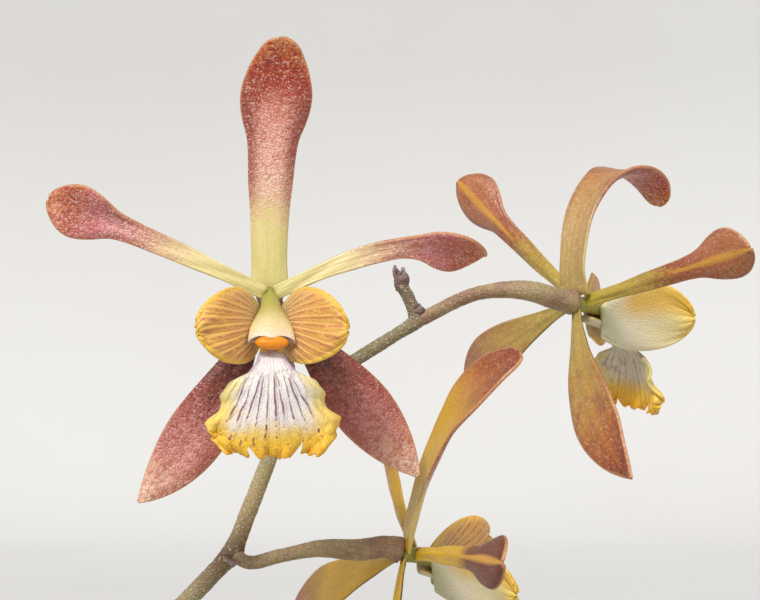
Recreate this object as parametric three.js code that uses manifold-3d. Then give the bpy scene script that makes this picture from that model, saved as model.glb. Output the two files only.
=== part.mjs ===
// A potted Encyclia orchid in flower, in millimetres, +Z up, with its origin under the middle of the pot.
// A clay pot of bark holds a short rhizome with roots, four pseudobulbs and their strap leaves. One thin
// flowering stem rises from the tallest pseudobulb and carries three blooms and a withered tip.
import * as THREE from 'three';
import { mergeVertices } from 'three/addons/utils/BufferGeometryUtils.js';
import Module from 'manifold-3d';

const wasm = await Module();
wasm.setup();

const DEG = Math.PI / 180;
const GOLDEN_ANGLE = 2.399963;
const SEAT_GAP = 0.3;
const ROUND = 36;

// Pot and bark
const POT = {
  height: 92, baseRadius: 36, bodyTopRadius: 47, bandBottomRadius: 51.5, rimRadius: 55,
  bandHeight: 22, wall: 6, floor: 7, lipRound: 2, holeRadius: 5, holeRing: 19, holes: 4,
};
const BARK = { level: 83, dome: 3 };
const CHIPS = { count: 30, length: [13, 18], width: [8, 12], thickness: [5, 7] };

// Rhizome, roots and pseudobulbs, from the oldest growth to the youngest
const RHIZOME = { radius: 2.9, depth: 3.1, overhang: 6 };
const ROOT = { radius: 1.25, dive: 24, crest: -0.2 };
const ROOTS = [
  { bulb: 0, heading: 205, reach: 12 },
  { bulb: 1, heading: 8, reach: 20 },
  { bulb: 1, heading: 190, reach: 20 },
  { bulb: 2, heading: 15, reach: 21 },
  { bulb: 2, heading: 196, reach: 20 },
  { bulb: 3, heading: 200, reach: 16 },
];
const BULBS = [
  { x: -30, y: 12, radius: 8.0, height: 29, sheath: 15 },
  { x: -11, y: 5, radius: 9.2, height: 35, sheath: 12 },
  { x: 9, y: -3, radius: 9.9, height: 39, sheath: 14 },
  { x: 28.5, y: -9, radius: 7.4, height: 27, sheath: 17 },
];
const BULB = { foot: 4.2, shoulder: 4.6, fullest: 0.34, ridges: 9, ridgeDepth: 0.035, sheathThickness: 0.55 };

// Leaves: the pseudobulb they stand on, length, compass heading, rise from level and how far they arch over
const LEAVES = [
  { bulb: 0, length: 104, heading: -78, rise: 60, arch: 62, half: 6.6, twist: 14 },
  { bulb: 1, length: 128, heading: -34, rise: 70, arch: 66, half: 7.4, twist: -10 },
  { bulb: 1, length: 118, heading: 206, rise: 66, arch: 74, half: 7.0, twist: 12 },
  { bulb: 2, length: 146, heading: 14, rise: 72, arch: 70, half: 7.8, twist: -8 },
  { bulb: 2, length: 132, heading: 168, rise: 66, arch: 80, half: 7.6, twist: 10 },
  { bulb: 3, length: 100, heading: 22, rise: 66, arch: 58, half: 6.4, twist: 10 },
  { bulb: 3, length: 112, heading: 150, rise: 60, arch: 66, half: 6.8, twist: -12 },
];
const LEAF = { thickness: 1.1, foot: 3.3, footCup: 66, bladeCup: 26, tipHalf: 0.5 };
const LEAF_FOOT_HALF = 3.1;

// Flowering stem: where its joints are, and its radius at the foot and at the tip
const STEM = { footRadius: 1.25, neckRadius: 0.84, tipRadius: 0.56, knot: 1.25, knotReach: 0.8 };
const STEM_COURSE = [[8.6, -3.6, 152], [5.2, -3.4, 196], [4.4, -2.6, 234]];
const STEM_SHEATHS = [0.2, 0.5, 0.8];
const JOINTS = [[8.4, -2.0, 253.6], [16.3, -2.0, 261.8], [21.7, -2.2, 275.7], [33.0, 0.0, 282.7]];
const WITHERED_TIP = [[32.5, -0.1, 284.0], [31.9, -0.3, 285.3], [31.3, -0.4, 286.2]];

// Flower parts
const TEPAL = { thickness: 0.62, tip: 0.28, seat: 1.1, sepalLayer: -0.31, petalLayer: 0.61 };
const PEDICEL = { radius: 0.62, ovary: 0.98, disc: 1.2, discFoot: 0.9, discThickness: 0.5, discFace: -0.92 };

// Outlines: the half-width of the claw and the blade, the shares of the length where the one flares into the
// other and where the tip starts to round, and how square and how tapered that tip is
const DORSAL = { claw: 1.62, blade: 3.1, flare: [0.4, 0.8], roundFrom: 0.76, square: 2.2, taper: 0.55 };
const LATERAL = { claw: 0.5, blade: 2.72, flare: [0, 0.64], roundFrom: 0.62, square: 1.9, taper: 0.85 };
const PETAL = { claw: 0.62, blade: 2.55, flare: [0.56, 0.84], roundFrom: 0.8, square: 2.1, taper: 0.55 };
const LOBE = { claw: 0.78, blade: 3.2, flare: [0.04, 0.46], roundFrom: 0.62, square: 2.6, taper: 0.62 };
const BRACT = { claw: 0.55, blade: 0.8, flare: [0, 0.5], roundFrom: 0.45, square: 1.8, taper: 0.8 };
const LEAF_OUTLINE = { claw: LEAF_FOOT_HALF, flare: [0, 0.42], roundFrom: 0.62, square: 1.8, taper: 0.75 };

// Lip: a claw, two side lobes and a ruffled middle lobe with its half-width and cup by share of its length
const SIDE_LOBE = { root: [0.95, -2.35, 1.75], length: 8.4, heading: 95, rise: 68, curl: -50, cup: -6 };
const LIP_CLAW = { from: [0, -1.75, 0.6], length: 5.7, heading: 180, rise: 62, curl: -12 };
const LIP_CLAW_HALF = 1.05;
const MID_LOBE = {
  root: [0, -4.65, 4.95], lean: 1.6, ruffle: 0.62, ruffles: 15,
  halves: [
    [0, 1.15], [0.12, 1.6], [0.2, 2.2], [0.3, 4.2], [0.42, 5.2],
    [0.55, 5.3], [0.7, 6.4], [0.85, 5.7], [1, 4.2],
  ],
  cups: [[0, -8], [0.3, -34], [0.48, -58], [0.7, -42], [1, -26]],
};

// Column, with its half-width and half-depth by share of its length, and the anther cap at its end
const COLUMN_COURSE = { from: [0, 0, -0.6], length: 7.2, heading: 180, rise: 74, curl: -34, curlPower: 1.2 };
const COLUMN = {
  steps: 7,
  halfWidths: [[0, 0.78], [0.25, 0.86], [0.5, 1.12], [0.75, 1.7], [1, 2.05]],
  halfDepths: [[0, 0.72], [0.25, 0.7], [0.5, 0.85], [0.75, 0.9], [1, 0.55]],
};
const ANTHER = { halfWidth: 1.45, halfDepth: 0.62, halfHeight: 0.7 };

// Each bloom: its middle, the way it faces, the joint and the course of its pedicel, how far its lip leans
// forward, the fall of its middle lobe, and the pose of each sepal and petal. Headings turn from the dorsal
// sepal towards the bloom's own right, as seen from its front.
const BLOOMS = {
  front: {
    at: [20, -14, 285], yaw: 3, pitch: 0, roll: 0,
    joint: 2, course: [[21.2, -4.9, 279.6], [20.3, -8.6, 283.6]],
    lipLean: 0, skirt: { length: 10.1, rise: 52, curl: -78, spread: 1 },
    dorsal: { length: 22, heading: -1, bend: 8, rise: -9, curl: 46, curlPower: 2.6, cup: -34, tipCup: 8 },
    petalLeft: { length: 19.9, heading: -64, bend: -5, rise: 8, curl: -14, twist: -14, cup: 24, wave: 0.5 },
    petalRight: {
      length: 18.7, heading: 64.5, bend: 46, bendPower: 2, rise: 7, curl: -24, twist: 48, cup: 30, wave: 0.5,
    },
    sepalLeft: { length: 20.4, heading: -155, bend: 23, bendPower: 2, rise: -4, curl: 12, cup: -10, twist: 6 },
    sepalRight: { length: 19.5, heading: 140, bend: 1, rise: -8, curl: 12, cup: -8, twist: -6 },
  },
  right: {
    at: [47.5, 1.5, 284.4], yaw: 134, pitch: -4, roll: 7,
    joint: 3, course: [[37.7, -1.0, 285.0], [40.4, -1.8, 285.5], [43.1, -2.0, 285.4]],
    lipLean: 20, skirt: { length: 7.8, rise: 40, curl: -56, spread: 0.85 },
    dorsal: { length: 20.5, heading: 17, bend: -15, rise: 5, curl: 152, curlPower: 2, cup: -34, tipCup: -10 },
    petalLeft: { length: 20, heading: -70, rise: -3, curl: 2, twist: 26, cup: 26, wave: 0.3 },
    petalRight: { length: 20, heading: 69, bend: -11, rise: 8, curl: -15, twist: 0, cup: 26, wave: 0.3 },
    sepalLeft: { length: 20.6, heading: -144, bend: 22, rise: -24, curl: 21, cup: -12 },
    sepalRight: { length: 20.4, heading: 120, bend: 5, rise: -1, curl: 42, cup: -12 },
  },
  lower: {
    at: [32.1, -5, 262.1], yaw: 105, pitch: -14, roll: 20,
    joint: 1, course: [[17.9, -3.5, 261.1], [20.7, -5, 261.8], [24.2, -6, 262.5], [27.8, -6.2, 262.4]],
    lipLean: 26, skirt: { length: 8.6, rise: 36, curl: -60, spread: 0.9 },
    dorsal: { length: 22, heading: -7, bend: -11, rise: -7, curl: 43, curlPower: 2, cup: -30, tipCup: -20 },
    petalLeft: { length: 20, heading: -66, bend: -3, rise: 4, curl: 2, twist: 0, cup: 26, wave: 0.3 },
    petalRight: { length: 19, heading: 80, bend: -6, rise: -6, curl: 10, twist: 0, cup: 26, wave: 0.3 },
    sepalLeft: { length: 20.5, heading: -141, rise: -1, curl: 0, cup: -12 },
    sepalRight: { length: 20.5, heading: 134, bend: -1, rise: -17, curl: 16, cup: -12 },
  },
};

const COLOURS = {
  clay: 0xa9603f, bark: 0x5a3b26, root: 0xb9b59c, bulb: 0x6f8a3c, leaf: 0x4f7a35, stem: 0xa3a577,
  pedicel: 0x8a7350, tepal: 0x9a5646, lip: 0xe9dcc0, column: 0xe6dca4, anther: 0xe88c14,
};

const material = (colour, roughness = 0.6) =>
  new THREE.MeshStandardMaterial({ color: COLOURS[colour], roughness, metalness: 0 });
const vec = (p) => new THREE.Vector3(...p);
const lerp = THREE.MathUtils.lerp;
const smooth = (from, to, t) => THREE.MathUtils.smoothstep(t, from, to);

// Repeatable random numbers from 0 to 1.
function seededRandom(seed) {
  let state = seed;
  return () => {
    state = (state + 0x6d2b79f5) | 0;
    let mixed = Math.imul(state ^ (state >>> 15), 1 | state);
    mixed = (mixed + Math.imul(mixed ^ (mixed >>> 7), 61 | mixed)) ^ mixed;
    return ((mixed ^ (mixed >>> 14)) >>> 0) / 4294967296;
  };
}

// A value read from a short list of [share, value] pairs, smoothly between them.
function along(stations, t) {
  const last = stations.findIndex(([share]) => share >= t);
  if (last <= 0) return stations[0][1];
  const [[t0, v0], [t1, v1]] = [stations[last - 1], stations[last]];
  return lerp(v0, v1, smooth(t0, t1, t));
}

// A closed skin over rings of points. The ends are closed by strips between a ring's facing points.
function skin(rings) {
  const count = rings[0].length;
  const index = [];
  for (let r = 0; r + 1 < rings.length; r++)
    for (let i = 0; i < count; i++) {
      const [a, b] = [r * count + i, r * count + ((i + 1) % count)];
      index.push(a, b, b + count, a, b + count, a + count);
    }
  const end = (rings.length - 1) * count;
  for (let i = 0; i < count / 2 - 1; i++) {
    const [a, b, c, d] = [i, i + 1, count - 2 - i, count - 1 - i];
    index.push(c, b, a, d, c, a);
    index.push(end + a, end + b, end + c, end + a, end + c, end + d);
  }
  const geometry = new THREE.BufferGeometry();
  const numbers = rings.flat().flatMap((p) => p.toArray());
  geometry.setAttribute('position', new THREE.Float32BufferAttribute(numbers, 3));
  geometry.setIndex(index);
  return geometry;
}

// A geometry with its positions only, so that corners which differ in anything else can merge.
function bare(geometry) {
  for (const name of Object.keys(geometry.attributes))
    if (name !== 'position') geometry.deleteAttribute(name);
  return geometry;
}

function toSolid(geometry) {
  const merged = mergeVertices(bare(geometry), 1e-4);
  const mesh = new wasm.Mesh({
    numProp: 3,
    vertProperties: merged.getAttribute('position').array,
    triVerts: new Uint32Array(merged.index.array),
  });
  return new wasm.Manifold(mesh);
}

function toGeometry(solid) {
  const mesh = solid.getMesh();
  const geometry = new THREE.BufferGeometry();
  geometry.setAttribute('position', new THREE.BufferAttribute(new Float32Array(mesh.vertProperties), 3));
  geometry.setIndex(new THREE.BufferAttribute(new Uint32Array(mesh.triVerts), 1));
  return geometry;
}

const fuse = (solids) => solids.reduce((sum, solid) => sum.add(solid));

// The largest body of a solid, without the loose scraps that a cut can leave.
const largestBody = (solid) => solid.decompose().sort((a, b) => b.volume() - a.volume())[0];

function node(name, geometry, colour, roughness) {
  const mesh = new THREE.Mesh(geometry, material(colour, roughness));
  mesh.name = name;
  return mesh;
}

// Stations along a blade's middle line. It starts at `from`, points at `heading` in the x-y plane and
// `rise` out of it, then bends in the plane and curls out of it over its length.
function middleLine(pose, shares) {
  const { from, length, heading, bend = 0, bendPower = 1, rise, curl = 0, curlPower = 1 } = pose;
  const directions = (t) => {
    const turn = (heading + bend * t ** bendPower) * DEG;
    const lift = (rise + curl * t ** curlPower) * DEG;
    const flat = new THREE.Vector3(Math.sin(turn), Math.cos(turn), 0);
    const forward = flat.clone().multiplyScalar(Math.cos(lift)).setZ(Math.sin(lift));
    const face = flat.clone().multiplyScalar(-Math.sin(lift)).setZ(Math.cos(lift));
    return { forward, face, side: new THREE.Vector3().crossVectors(forward, face) };
  };
  const point = vec(from);
  return shares.map((t, i) => {
    const before = shares[i - 1] ?? t;
    point.addScaledVector(directions((t + before) / 2).forward, length * (t - before));
    return { t, point: point.clone(), ...directions(t) };
  });
}

// Shares from 0 to 1 that crowd towards 1, where a tip rounds off.
const crowded = (steps, power = 1.35) =>
  Array.from({ length: steps + 1 }, (_, i) => 1 - (1 - i / steps) ** power);

// A thin closed blade round a middle line: half(t) is its half-width, cup(t) the angle that each half turns
// towards the face, twist(t) its turn about the line, and offset(s, t) a wave of the surface.
function blade(line, { half, cup = () => 0, twist = () => 0, offset = () => 0, thickness, across = 4 }) {
  return skin(line.map(({ t, point, face, side, forward }) => {
    const turn = twist(t) * DEG;
    const [width, bow] = [half(t), cup(t) * DEG];
    const up = face.clone().applyAxisAngle(forward, turn);
    const out = side.clone().applyAxisAngle(forward, turn);
    const [top, bottom] = [[], []];
    for (let i = 0; i <= across; i++) {
      const s = (2 * i) / across - 1;
      const angle = bow * s;
      const flat = Math.abs(bow) < 0.01;
      const sideways = flat ? width * s : (width / bow) * Math.sin(angle);
      const lift = flat ? 0 : (width / bow) * (1 - Math.cos(angle));
      const middle = point.clone().addScaledVector(out, sideways).addScaledVector(up, lift + offset(s, t));
      const normal = up.clone().multiplyScalar(Math.cos(angle)).addScaledVector(out, -Math.sin(angle));
      top.push(middle.clone().addScaledVector(normal, thickness / 2));
      bottom.unshift(middle.clone().addScaledVector(normal, -thickness / 2));
    }
    return [...top, ...bottom];
  }));
}

// Half-width of a claw that flares into a blade and rounds off at its tip.
const outline = (shape, tip = TEPAL.tip) => (t) => {
  const past = Math.max(0, (t - shape.roundFrom) / (1 - shape.roundFrom));
  const rounded = Math.max(0, 1 - past ** shape.square) ** shape.taper;
  return Math.max(tip, lerp(shape.claw, shape.blade, smooth(...shape.flare, t)) * rounded);
};

// A round tube through points, with a radius at each of them.
function tube(points, radii, sides) {
  let out = new THREE.Vector3(0.3, 1, 0.2);
  return skin(points.map((centre, r) => {
    const [before, after] = [points[Math.max(r - 1, 0)], points[Math.min(r + 1, points.length - 1)]];
    const forward = after.clone().sub(before).normalize();
    out = out.clone().addScaledVector(forward, -out.dot(forward)).normalize();
    const side = new THREE.Vector3().crossVectors(forward, out);
    return Array.from({ length: sides }, (_, i) => {
      const angle = ((i + 0.5) * 2 * Math.PI) / sides;
      const [x, y] = [radii[r] * Math.cos(angle), radii[r] * Math.sin(angle)];
      return centre.clone().addScaledVector(out, x).addScaledVector(side, y);
    });
  }));
}

// A round stem along a curve, with its radius given by share of the length.
function stemAlong(curve, radiusAt, sides, steps) {
  const shares = Array.from({ length: steps + 1 }, (_, i) => i / steps);
  return tube(shares.map((t) => curve.getPointAt(t)), shares.map(radiusAt), sides);
}

const curveThrough = (points) => {
  const corners = points.map((p) => (p.isVector3 ? p : vec(p)));
  return new THREE.CatmullRomCurve3(corners, false, 'centripetal');
};

// A solid turned round the z axis from a profile of [radius, height] pairs.
function turned(profile) {
  const points = profile.map(([radius, height]) => new THREE.Vector2(radius, height));
  return toSolid(new THREE.LatheGeometry(points, ROUND).rotateX(90 * DEG));
}

// Clay pot: a tapered wall with a deep band under the rim, a floor, and drain holes round its middle
function innerRadius(z) {
  const bandBottom = POT.height - POT.bandHeight;
  const outer = z < bandBottom
    ? lerp(POT.baseRadius, POT.bodyTopRadius, z / bandBottom)
    : lerp(POT.bodyTopRadius, POT.rimRadius, (z - bandBottom) / POT.bandHeight);
  return Math.min(outer, lerp(POT.baseRadius, POT.rimRadius, z / POT.height)) - POT.wall;
}

function potWall() {
  const { height, baseRadius, bodyTopRadius, bandBottomRadius, rimRadius, bandHeight, lipRound, floor } = POT;
  const bandBottom = height - bandHeight;
  let solid = turned([
    [0, 0], [baseRadius - 1, 0], [baseRadius, 1], [bodyTopRadius, bandBottom],
    [bandBottomRadius, bandBottom + 1.2], [rimRadius, height - lipRound], [rimRadius - lipRound, height],
    [innerRadius(height) + 1, height], [innerRadius(height), height - 1.2],
    [innerRadius(bandBottom), bandBottom], [innerRadius(floor + 3), floor + 3],
    [innerRadius(floor) - 3, floor], [0, floor],
  ]);
  for (let i = 0; i < POT.holes; i++) {
    const angle = ((i + 0.5) * 2 * Math.PI) / POT.holes;
    const hole = new THREE.CylinderGeometry(POT.holeRadius, POT.holeRadius, 3 * floor, 12).rotateX(90 * DEG);
    hole.translate(POT.holeRing * Math.cos(angle), POT.holeRing * Math.sin(angle), floor / 2);
    solid = solid.subtract(toSolid(hole));
  }
  return solid;
}

// Pseudobulb: an egg-shaped cone with shallow upright ridges and a papery sheath round its foot
function bulbSkin({ x, y, radius, height, sheath }) {
  const [sides, steps] = [18, 9];
  const floorZ = BARK.level + SEAT_GAP;
  return skin(Array.from({ length: steps + 1 }, (_, r) => {
    const t = r / steps;
    const body = t < BULB.fullest
      ? lerp(BULB.foot, radius, Math.sin((t / BULB.fullest) * 90 * DEG))
      : lerp(BULB.shoulder, radius, Math.cos(((t - BULB.fullest) / (1 - BULB.fullest)) * 90 * DEG) ** 0.85);
    return Array.from({ length: sides }, (_, i) => {
      const angle = (-(i + 0.5) * 2 * Math.PI) / sides;
      const ridge = 1 + BULB.ridgeDepth * Math.cos(BULB.ridges * angle) * Math.sin(t * Math.PI);
      const sheathTop = sheath * (1 + 0.3 * Math.cos(2 * angle + x));
      const wrap = t * height < sheathTop && t > 0 ? BULB.sheathThickness : 0;
      const reach = body * ridge + wrap;
      return new THREE.Vector3(x + reach * Math.sin(angle), y + reach * Math.cos(angle), floorZ + t * height);
    });
  }));
}

const bulbTop = ({ x, y, height }) => new THREE.Vector3(x, y, BARK.level + SEAT_GAP + height);

// Rhizome under the pseudobulbs, with roots that run over the bark and dive into it
function rhizomeSolid(grow = 0) {
  const z = BARK.level - RHIZOME.depth;
  const course = BULBS.map(({ x, y }) => new THREE.Vector3(x, y, z));
  const step = course[0].clone().sub(course[1]).setLength(RHIZOME.overhang);
  const endStep = course[3].clone().sub(course[2]).setLength(RHIZOME.overhang);
  const whole = curveThrough([course[0].clone().add(step), ...course, course[3].clone().add(endStep)]);
  const knobbly = (t) => RHIZOME.radius * (1 - 0.12 * Math.cos(40 * t)) + grow;
  const runner = toSolid(stemAlong(whole, knobbly, 8, 13));
  const roots = ROOTS.map(({ bulb, heading, reach }) => {
    const away = new THREE.Vector3(Math.sin(heading * DEG), Math.cos(heading * DEG), 0);
    const at = (share, height) => course[bulb].clone().addScaledVector(away, share * reach).setZ(height);
    const curve = curveThrough([
      at(0, z), at(0.25, z + 1.6), at(0.55, BARK.level + ROOT.crest), at(0.88, BARK.level - 2),
      at(1, BARK.level - ROOT.dive),
    ]);
    return toSolid(stemAlong(curve, () => ROOT.radius + grow, 5, 6));
  });
  return fuse([runner, ...roots]);
}

// Bark mix: a plug that fills the pot, chips standing out of its top, and plain sockets for what grows in it
function barkSolid() {
  const random = seededRandom(11);
  const [bottom, top] = [POT.floor + SEAT_GAP, BARK.level - 1.5];
  const reach = (z) => innerRadius(z) - SEAT_GAP;
  const bandBottom = POT.height - POT.bandHeight;
  const plug = turned([
    [0, bottom], [reach(POT.floor) - 3.2, bottom], [reach(POT.floor + 3), POT.floor + 3.2],
    [reach(bandBottom), bandBottom], [reach(top), top], [0, top],
  ]);
  const room = turned([
    [0, bandBottom], [reach(bandBottom) - 0.5, bandBottom],
    [reach(POT.height) - 0.5, POT.height], [0, POT.height],
  ]);
  const chips = Array.from({ length: CHIPS.count }, (_, i) => {
    const size = [CHIPS.length, CHIPS.width, CHIPS.thickness].map(([low, high]) => lerp(low, high, random()));
    const chip = mergeVertices(bare(new THREE.BoxGeometry(...size)), 1e-3);
    const corners = chip.getAttribute('position');
    for (let c = 0; c < corners.count; c++)
      for (let axis = 0; axis < 3; axis++)
        corners.setComponent(c, axis, corners.getComponent(c, axis) * lerp(0.62, 1.12, random()));
    const spread = Math.sqrt((i + 0.5) / CHIPS.count);
    const ring = (reach(BARK.level) - 3) * spread;
    const place = new THREE.Object3D();
    place.position.set(ring * Math.cos(i * GOLDEN_ANGLE), ring * Math.sin(i * GOLDEN_ANGLE), top);
    place.position.z += BARK.dome * (1 - spread) + lerp(-0.6, 1.2, random());
    place.rotation.set(lerp(-0.3, 0.3, random()), lerp(-0.3, 0.3, random()), random() * Math.PI);
    place.updateMatrix();
    return toSolid(chip.applyMatrix4(place.matrix));
  });
  const bulbSockets = BULBS.map(({ x, y, radius }) => {
    const socket = new THREE.CylinderGeometry(radius + 1.5, BULB.foot + 2, 9, 9).rotateX(90 * DEG);
    return toSolid(socket.translate(x, y, BARK.level + 4.5));
  });
  const heap = plug.add(fuse(chips).intersect(room));
  return largestBody(heap.subtract(fuse([rhizomeSolid(SEAT_GAP), ...bulbSockets])));
}

// Strap leaf: clasping at its foot, channelled along its blade, arching over under its own weight
function leafSkin({ bulb, length, heading, rise, arch, half, twist }) {
  const away = new THREE.Vector3(Math.sin(heading * DEG), Math.cos(heading * DEG), 0);
  const from = bulbTop(BULBS[bulb]).addScaledVector(away, LEAF.foot);
  from.z += 2 * SEAT_GAP + LEAF.thickness * Math.cos(rise * DEG);
  const pose = { from: from.toArray(), length, heading, rise, curl: -arch, curlPower: 1.5 };
  return blade(middleLine(pose, crowded(11, 1.2)), {
    half: outline({ ...LEAF_OUTLINE, blade: half }, LEAF.tipHalf),
    cup: (t) => lerp(LEAF.footCup, LEAF.bladeCup, smooth(0, 0.3, t)),
    twist: (t) => twist * t,
    thickness: LEAF.thickness,
  });
}

// Flowering stem: a wiry foot, three clasping sheaths, a zigzag top with a knot and a bract at each joint
function floweringStem() {
  const foot = bulbTop(BULBS[2]).add(new THREE.Vector3(0, 0, SEAT_GAP));
  const joints = JOINTS.map(vec);
  const top = joints.length - 1;
  const course = curveThrough([foot, ...STEM_COURSE, joints[0]]);
  const steps = 18;
  const points = Array.from({ length: steps }, (_, i) => course.getPointAt(i / steps));
  const radii = points.map((_, i) => lerp(STEM.footRadius, STEM.neckRadius, i / steps));
  joints.forEach((joint, i) => {
    const radius = lerp(STEM.neckRadius, STEM.tipRadius, i / top);
    const [before, after] = [joints[i - 1] ?? points.at(-1), joints[i + 1] ?? vec(WITHERED_TIP[0])];
    const step = (towards) => joint.clone().add(towards.clone().sub(joint).setLength(STEM.knotReach));
    points.push(step(before), joint, step(after));
    radii.push(radius, STEM.knot * radius, radius);
  });
  points.push(...WITHERED_TIP.slice(1).map(vec));
  radii.push(STEM.tipRadius * 0.85, STEM.tipRadius * 0.75);
  const solids = [toSolid(tube(points, radii, 8))];
  for (const share of STEM_SHEATHS) {
    const wrap = new THREE.LineCurve3(course.getPointAt(share), course.getPointAt(share + 0.085));
    const radius = lerp(STEM.footRadius, STEM.neckRadius, share) + 0.55;
    solids.push(toSolid(stemAlong(wrap, (t) => radius + 0.35 * t - 0.9 * t ** 6, 8, 3)));
  }
  const end = points.at(-1).clone().add(new THREE.Vector3(0.2, 0, -0.9));
  const bracts = [
    { from: end, length: 2.6, heading: -58, rise: 66 },
    { from: end, length: 2.3, heading: 60, rise: 78 },
    { from: end, length: 2.2, heading: 170, rise: 62 },
    { from: joints[1], length: 2.4, heading: 175, rise: -30 },
    { from: joints[top], length: 1.9, heading: 180, rise: 50 },
  ];
  for (const bract of bracts) {
    const line = middleLine({ ...bract, from: bract.from.toArray(), curl: 20 }, crowded(3));
    const half = outline(BRACT, 0.15);
    solids.push(toSolid(blade(line, { half, cup: () => 30, thickness: 0.6, across: 2 })));
  }
  return largestBody(fuse(solids));
}

// The turn that carries a bloom's own axes (right, dorsal, front) into place. Yaw 0 faces -Y.
function bloomTurn({ yaw, pitch, roll }) {
  const level = new THREE.Vector3(Math.sin(yaw * DEG), -Math.cos(yaw * DEG), 0);
  const front = level.multiplyScalar(Math.cos(pitch * DEG)).setZ(Math.sin(pitch * DEG));
  const right = new THREE.Vector3(0, 0, 1).cross(front).normalize().applyAxisAngle(front, roll * DEG);
  const dorsal = new THREE.Vector3().crossVectors(front, right);
  return new THREE.Matrix4().makeBasis(right, dorsal, front);
}

// Sepal or petal: it starts at the seat's edge, in its own layer of the flower
function tepalSkin(pose, shape, layer) {
  const turn = pose.heading * DEG;
  const from = [TEPAL.seat * Math.sin(turn), TEPAL.seat * Math.cos(turn), layer];
  const line = middleLine({ from, curlPower: 1.6, ...pose }, crowded(10));
  return blade(line, {
    half: outline(shape),
    cup: (t) => lerp(pose.cup ?? 0, pose.tipCup ?? pose.cup ?? 0, smooth(0.55, 0.9, t)) * smooth(0, 0.12, t),
    twist: (t) => (pose.twist ?? 0) * smooth(0.3, 0.85, t),
    offset: (s, t) => (pose.wave ?? 0) * s * s * Math.sin(9 * t + 2 * s) * smooth(0.6, 0.8, t),
    thickness: TEPAL.thickness,
  });
}

// Lip: a claw under the column, two side lobes that flank it and flare, and a ruffled skirt of a middle lobe
function lipSolid(skirt) {
  const { thickness } = TEPAL;
  const claw = blade(middleLine(LIP_CLAW, crowded(3, 1)), {
    half: () => LIP_CLAW_HALF, cup: () => 20, thickness: thickness + 0.1, across: 2,
  });
  const sideLobes = [-1, 1].map((way) => {
    const [x, y, z] = SIDE_LOBE.root;
    const pose = { ...SIDE_LOBE, from: [way * x, y, z], heading: way * SIDE_LOBE.heading };
    return blade(middleLine(pose, crowded(7, 1.25)), {
      half: outline(LOBE),
      cup: () => SIDE_LOBE.cup,
      offset: (s, t) => 0.16 * Math.sin(7 * t + 5 * s) * smooth(0.4, 1, t),
      thickness,
    });
  });
  const fall = { from: MID_LOBE.root, heading: 180 - MID_LOBE.lean, curlPower: 0.7, ...skirt };
  const middle = blade(middleLine(fall, crowded(10, 1)), {
    half: (t) => skirt.spread * along(MID_LOBE.halves, t),
    cup: (t) => along(MID_LOBE.cups, t),
    offset: (s, t) => {
      const margin = Math.max(smooth(0.62, 1, Math.abs(s)) * smooth(0.55, 0.75, t), smooth(0.8, 1, t));
      return MID_LOBE.ruffle * margin * Math.sin(MID_LOBE.ruffles * Math.atan2(1.2 * s, t + 0.15) + 0.6);
    },
    thickness,
    across: 8,
  });
  return fuse([claw, ...sideLobes, middle].map(toSolid));
}

// Column: a slim neck that widens into a hooded end
function columnSkin() {
  return skin(middleLine(COLUMN_COURSE, crowded(COLUMN.steps, 1)).map(({ t, point, face, side }) => {
    const [width, depth] = [along(COLUMN.halfWidths, t), along(COLUMN.halfDepths, t)];
    return Array.from({ length: 12 }, (_, i) => {
      const angle = ((i + 0.5) * 2 * Math.PI) / 12;
      const [x, y] = [width * Math.sin(angle), depth * Math.cos(angle)];
      return point.clone().addScaledVector(side, x).addScaledVector(face, y);
    });
  }));
}

// Anther cap at the column's end
function antherSkin() {
  const { point, forward, face, side } = middleLine(COLUMN_COURSE, crowded(COLUMN.steps, 1)).at(-1);
  const { halfWidth, halfDepth, halfHeight } = ANTHER;
  const cap = new THREE.SphereGeometry(1, 10, 6).scale(halfWidth, halfHeight, halfDepth);
  cap.applyMatrix4(new THREE.Matrix4().makeBasis(side, forward, face));
  return cap.translate(...point.clone().addScaledVector(forward, halfHeight + SEAT_GAP).toArray());
}

// Pedicel and ovary, from the stem's joint to the flat disc that the flower's parts stand on
function pedicelSolid(bloom) {
  const turn = bloomTurn(bloom);
  const behind = (depth) => new THREE.Vector3(0, 0, depth).applyMatrix4(turn).add(vec(bloom.at));
  const joint = vec(JOINTS[bloom.joint]);
  const clear = STEM.knot * STEM.neckRadius + 2 * SEAT_GAP;
  const start = joint.clone().add(vec(bloom.course[0]).sub(joint).setLength(clear));
  const { discFace, disc, discFoot, discThickness } = PEDICEL;
  const curve = curveThrough([start, ...bloom.course, behind(discFace - 1.4), behind(discFace - 0.1)]);
  const radiusAt = (t) => lerp(PEDICEL.radius, PEDICEL.ovary, smooth(0.35, 0.8, t));
  const seat = new THREE.CylinderGeometry(disc, discFoot, discThickness, 12).rotateX(90 * DEG);
  seat.translate(0, 0, discFace - discThickness / 2).applyMatrix4(turn).translate(...bloom.at);
  return fuse([stemAlong(curve, radiusAt, 7, 11), seat].map(toSolid));
}

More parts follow.
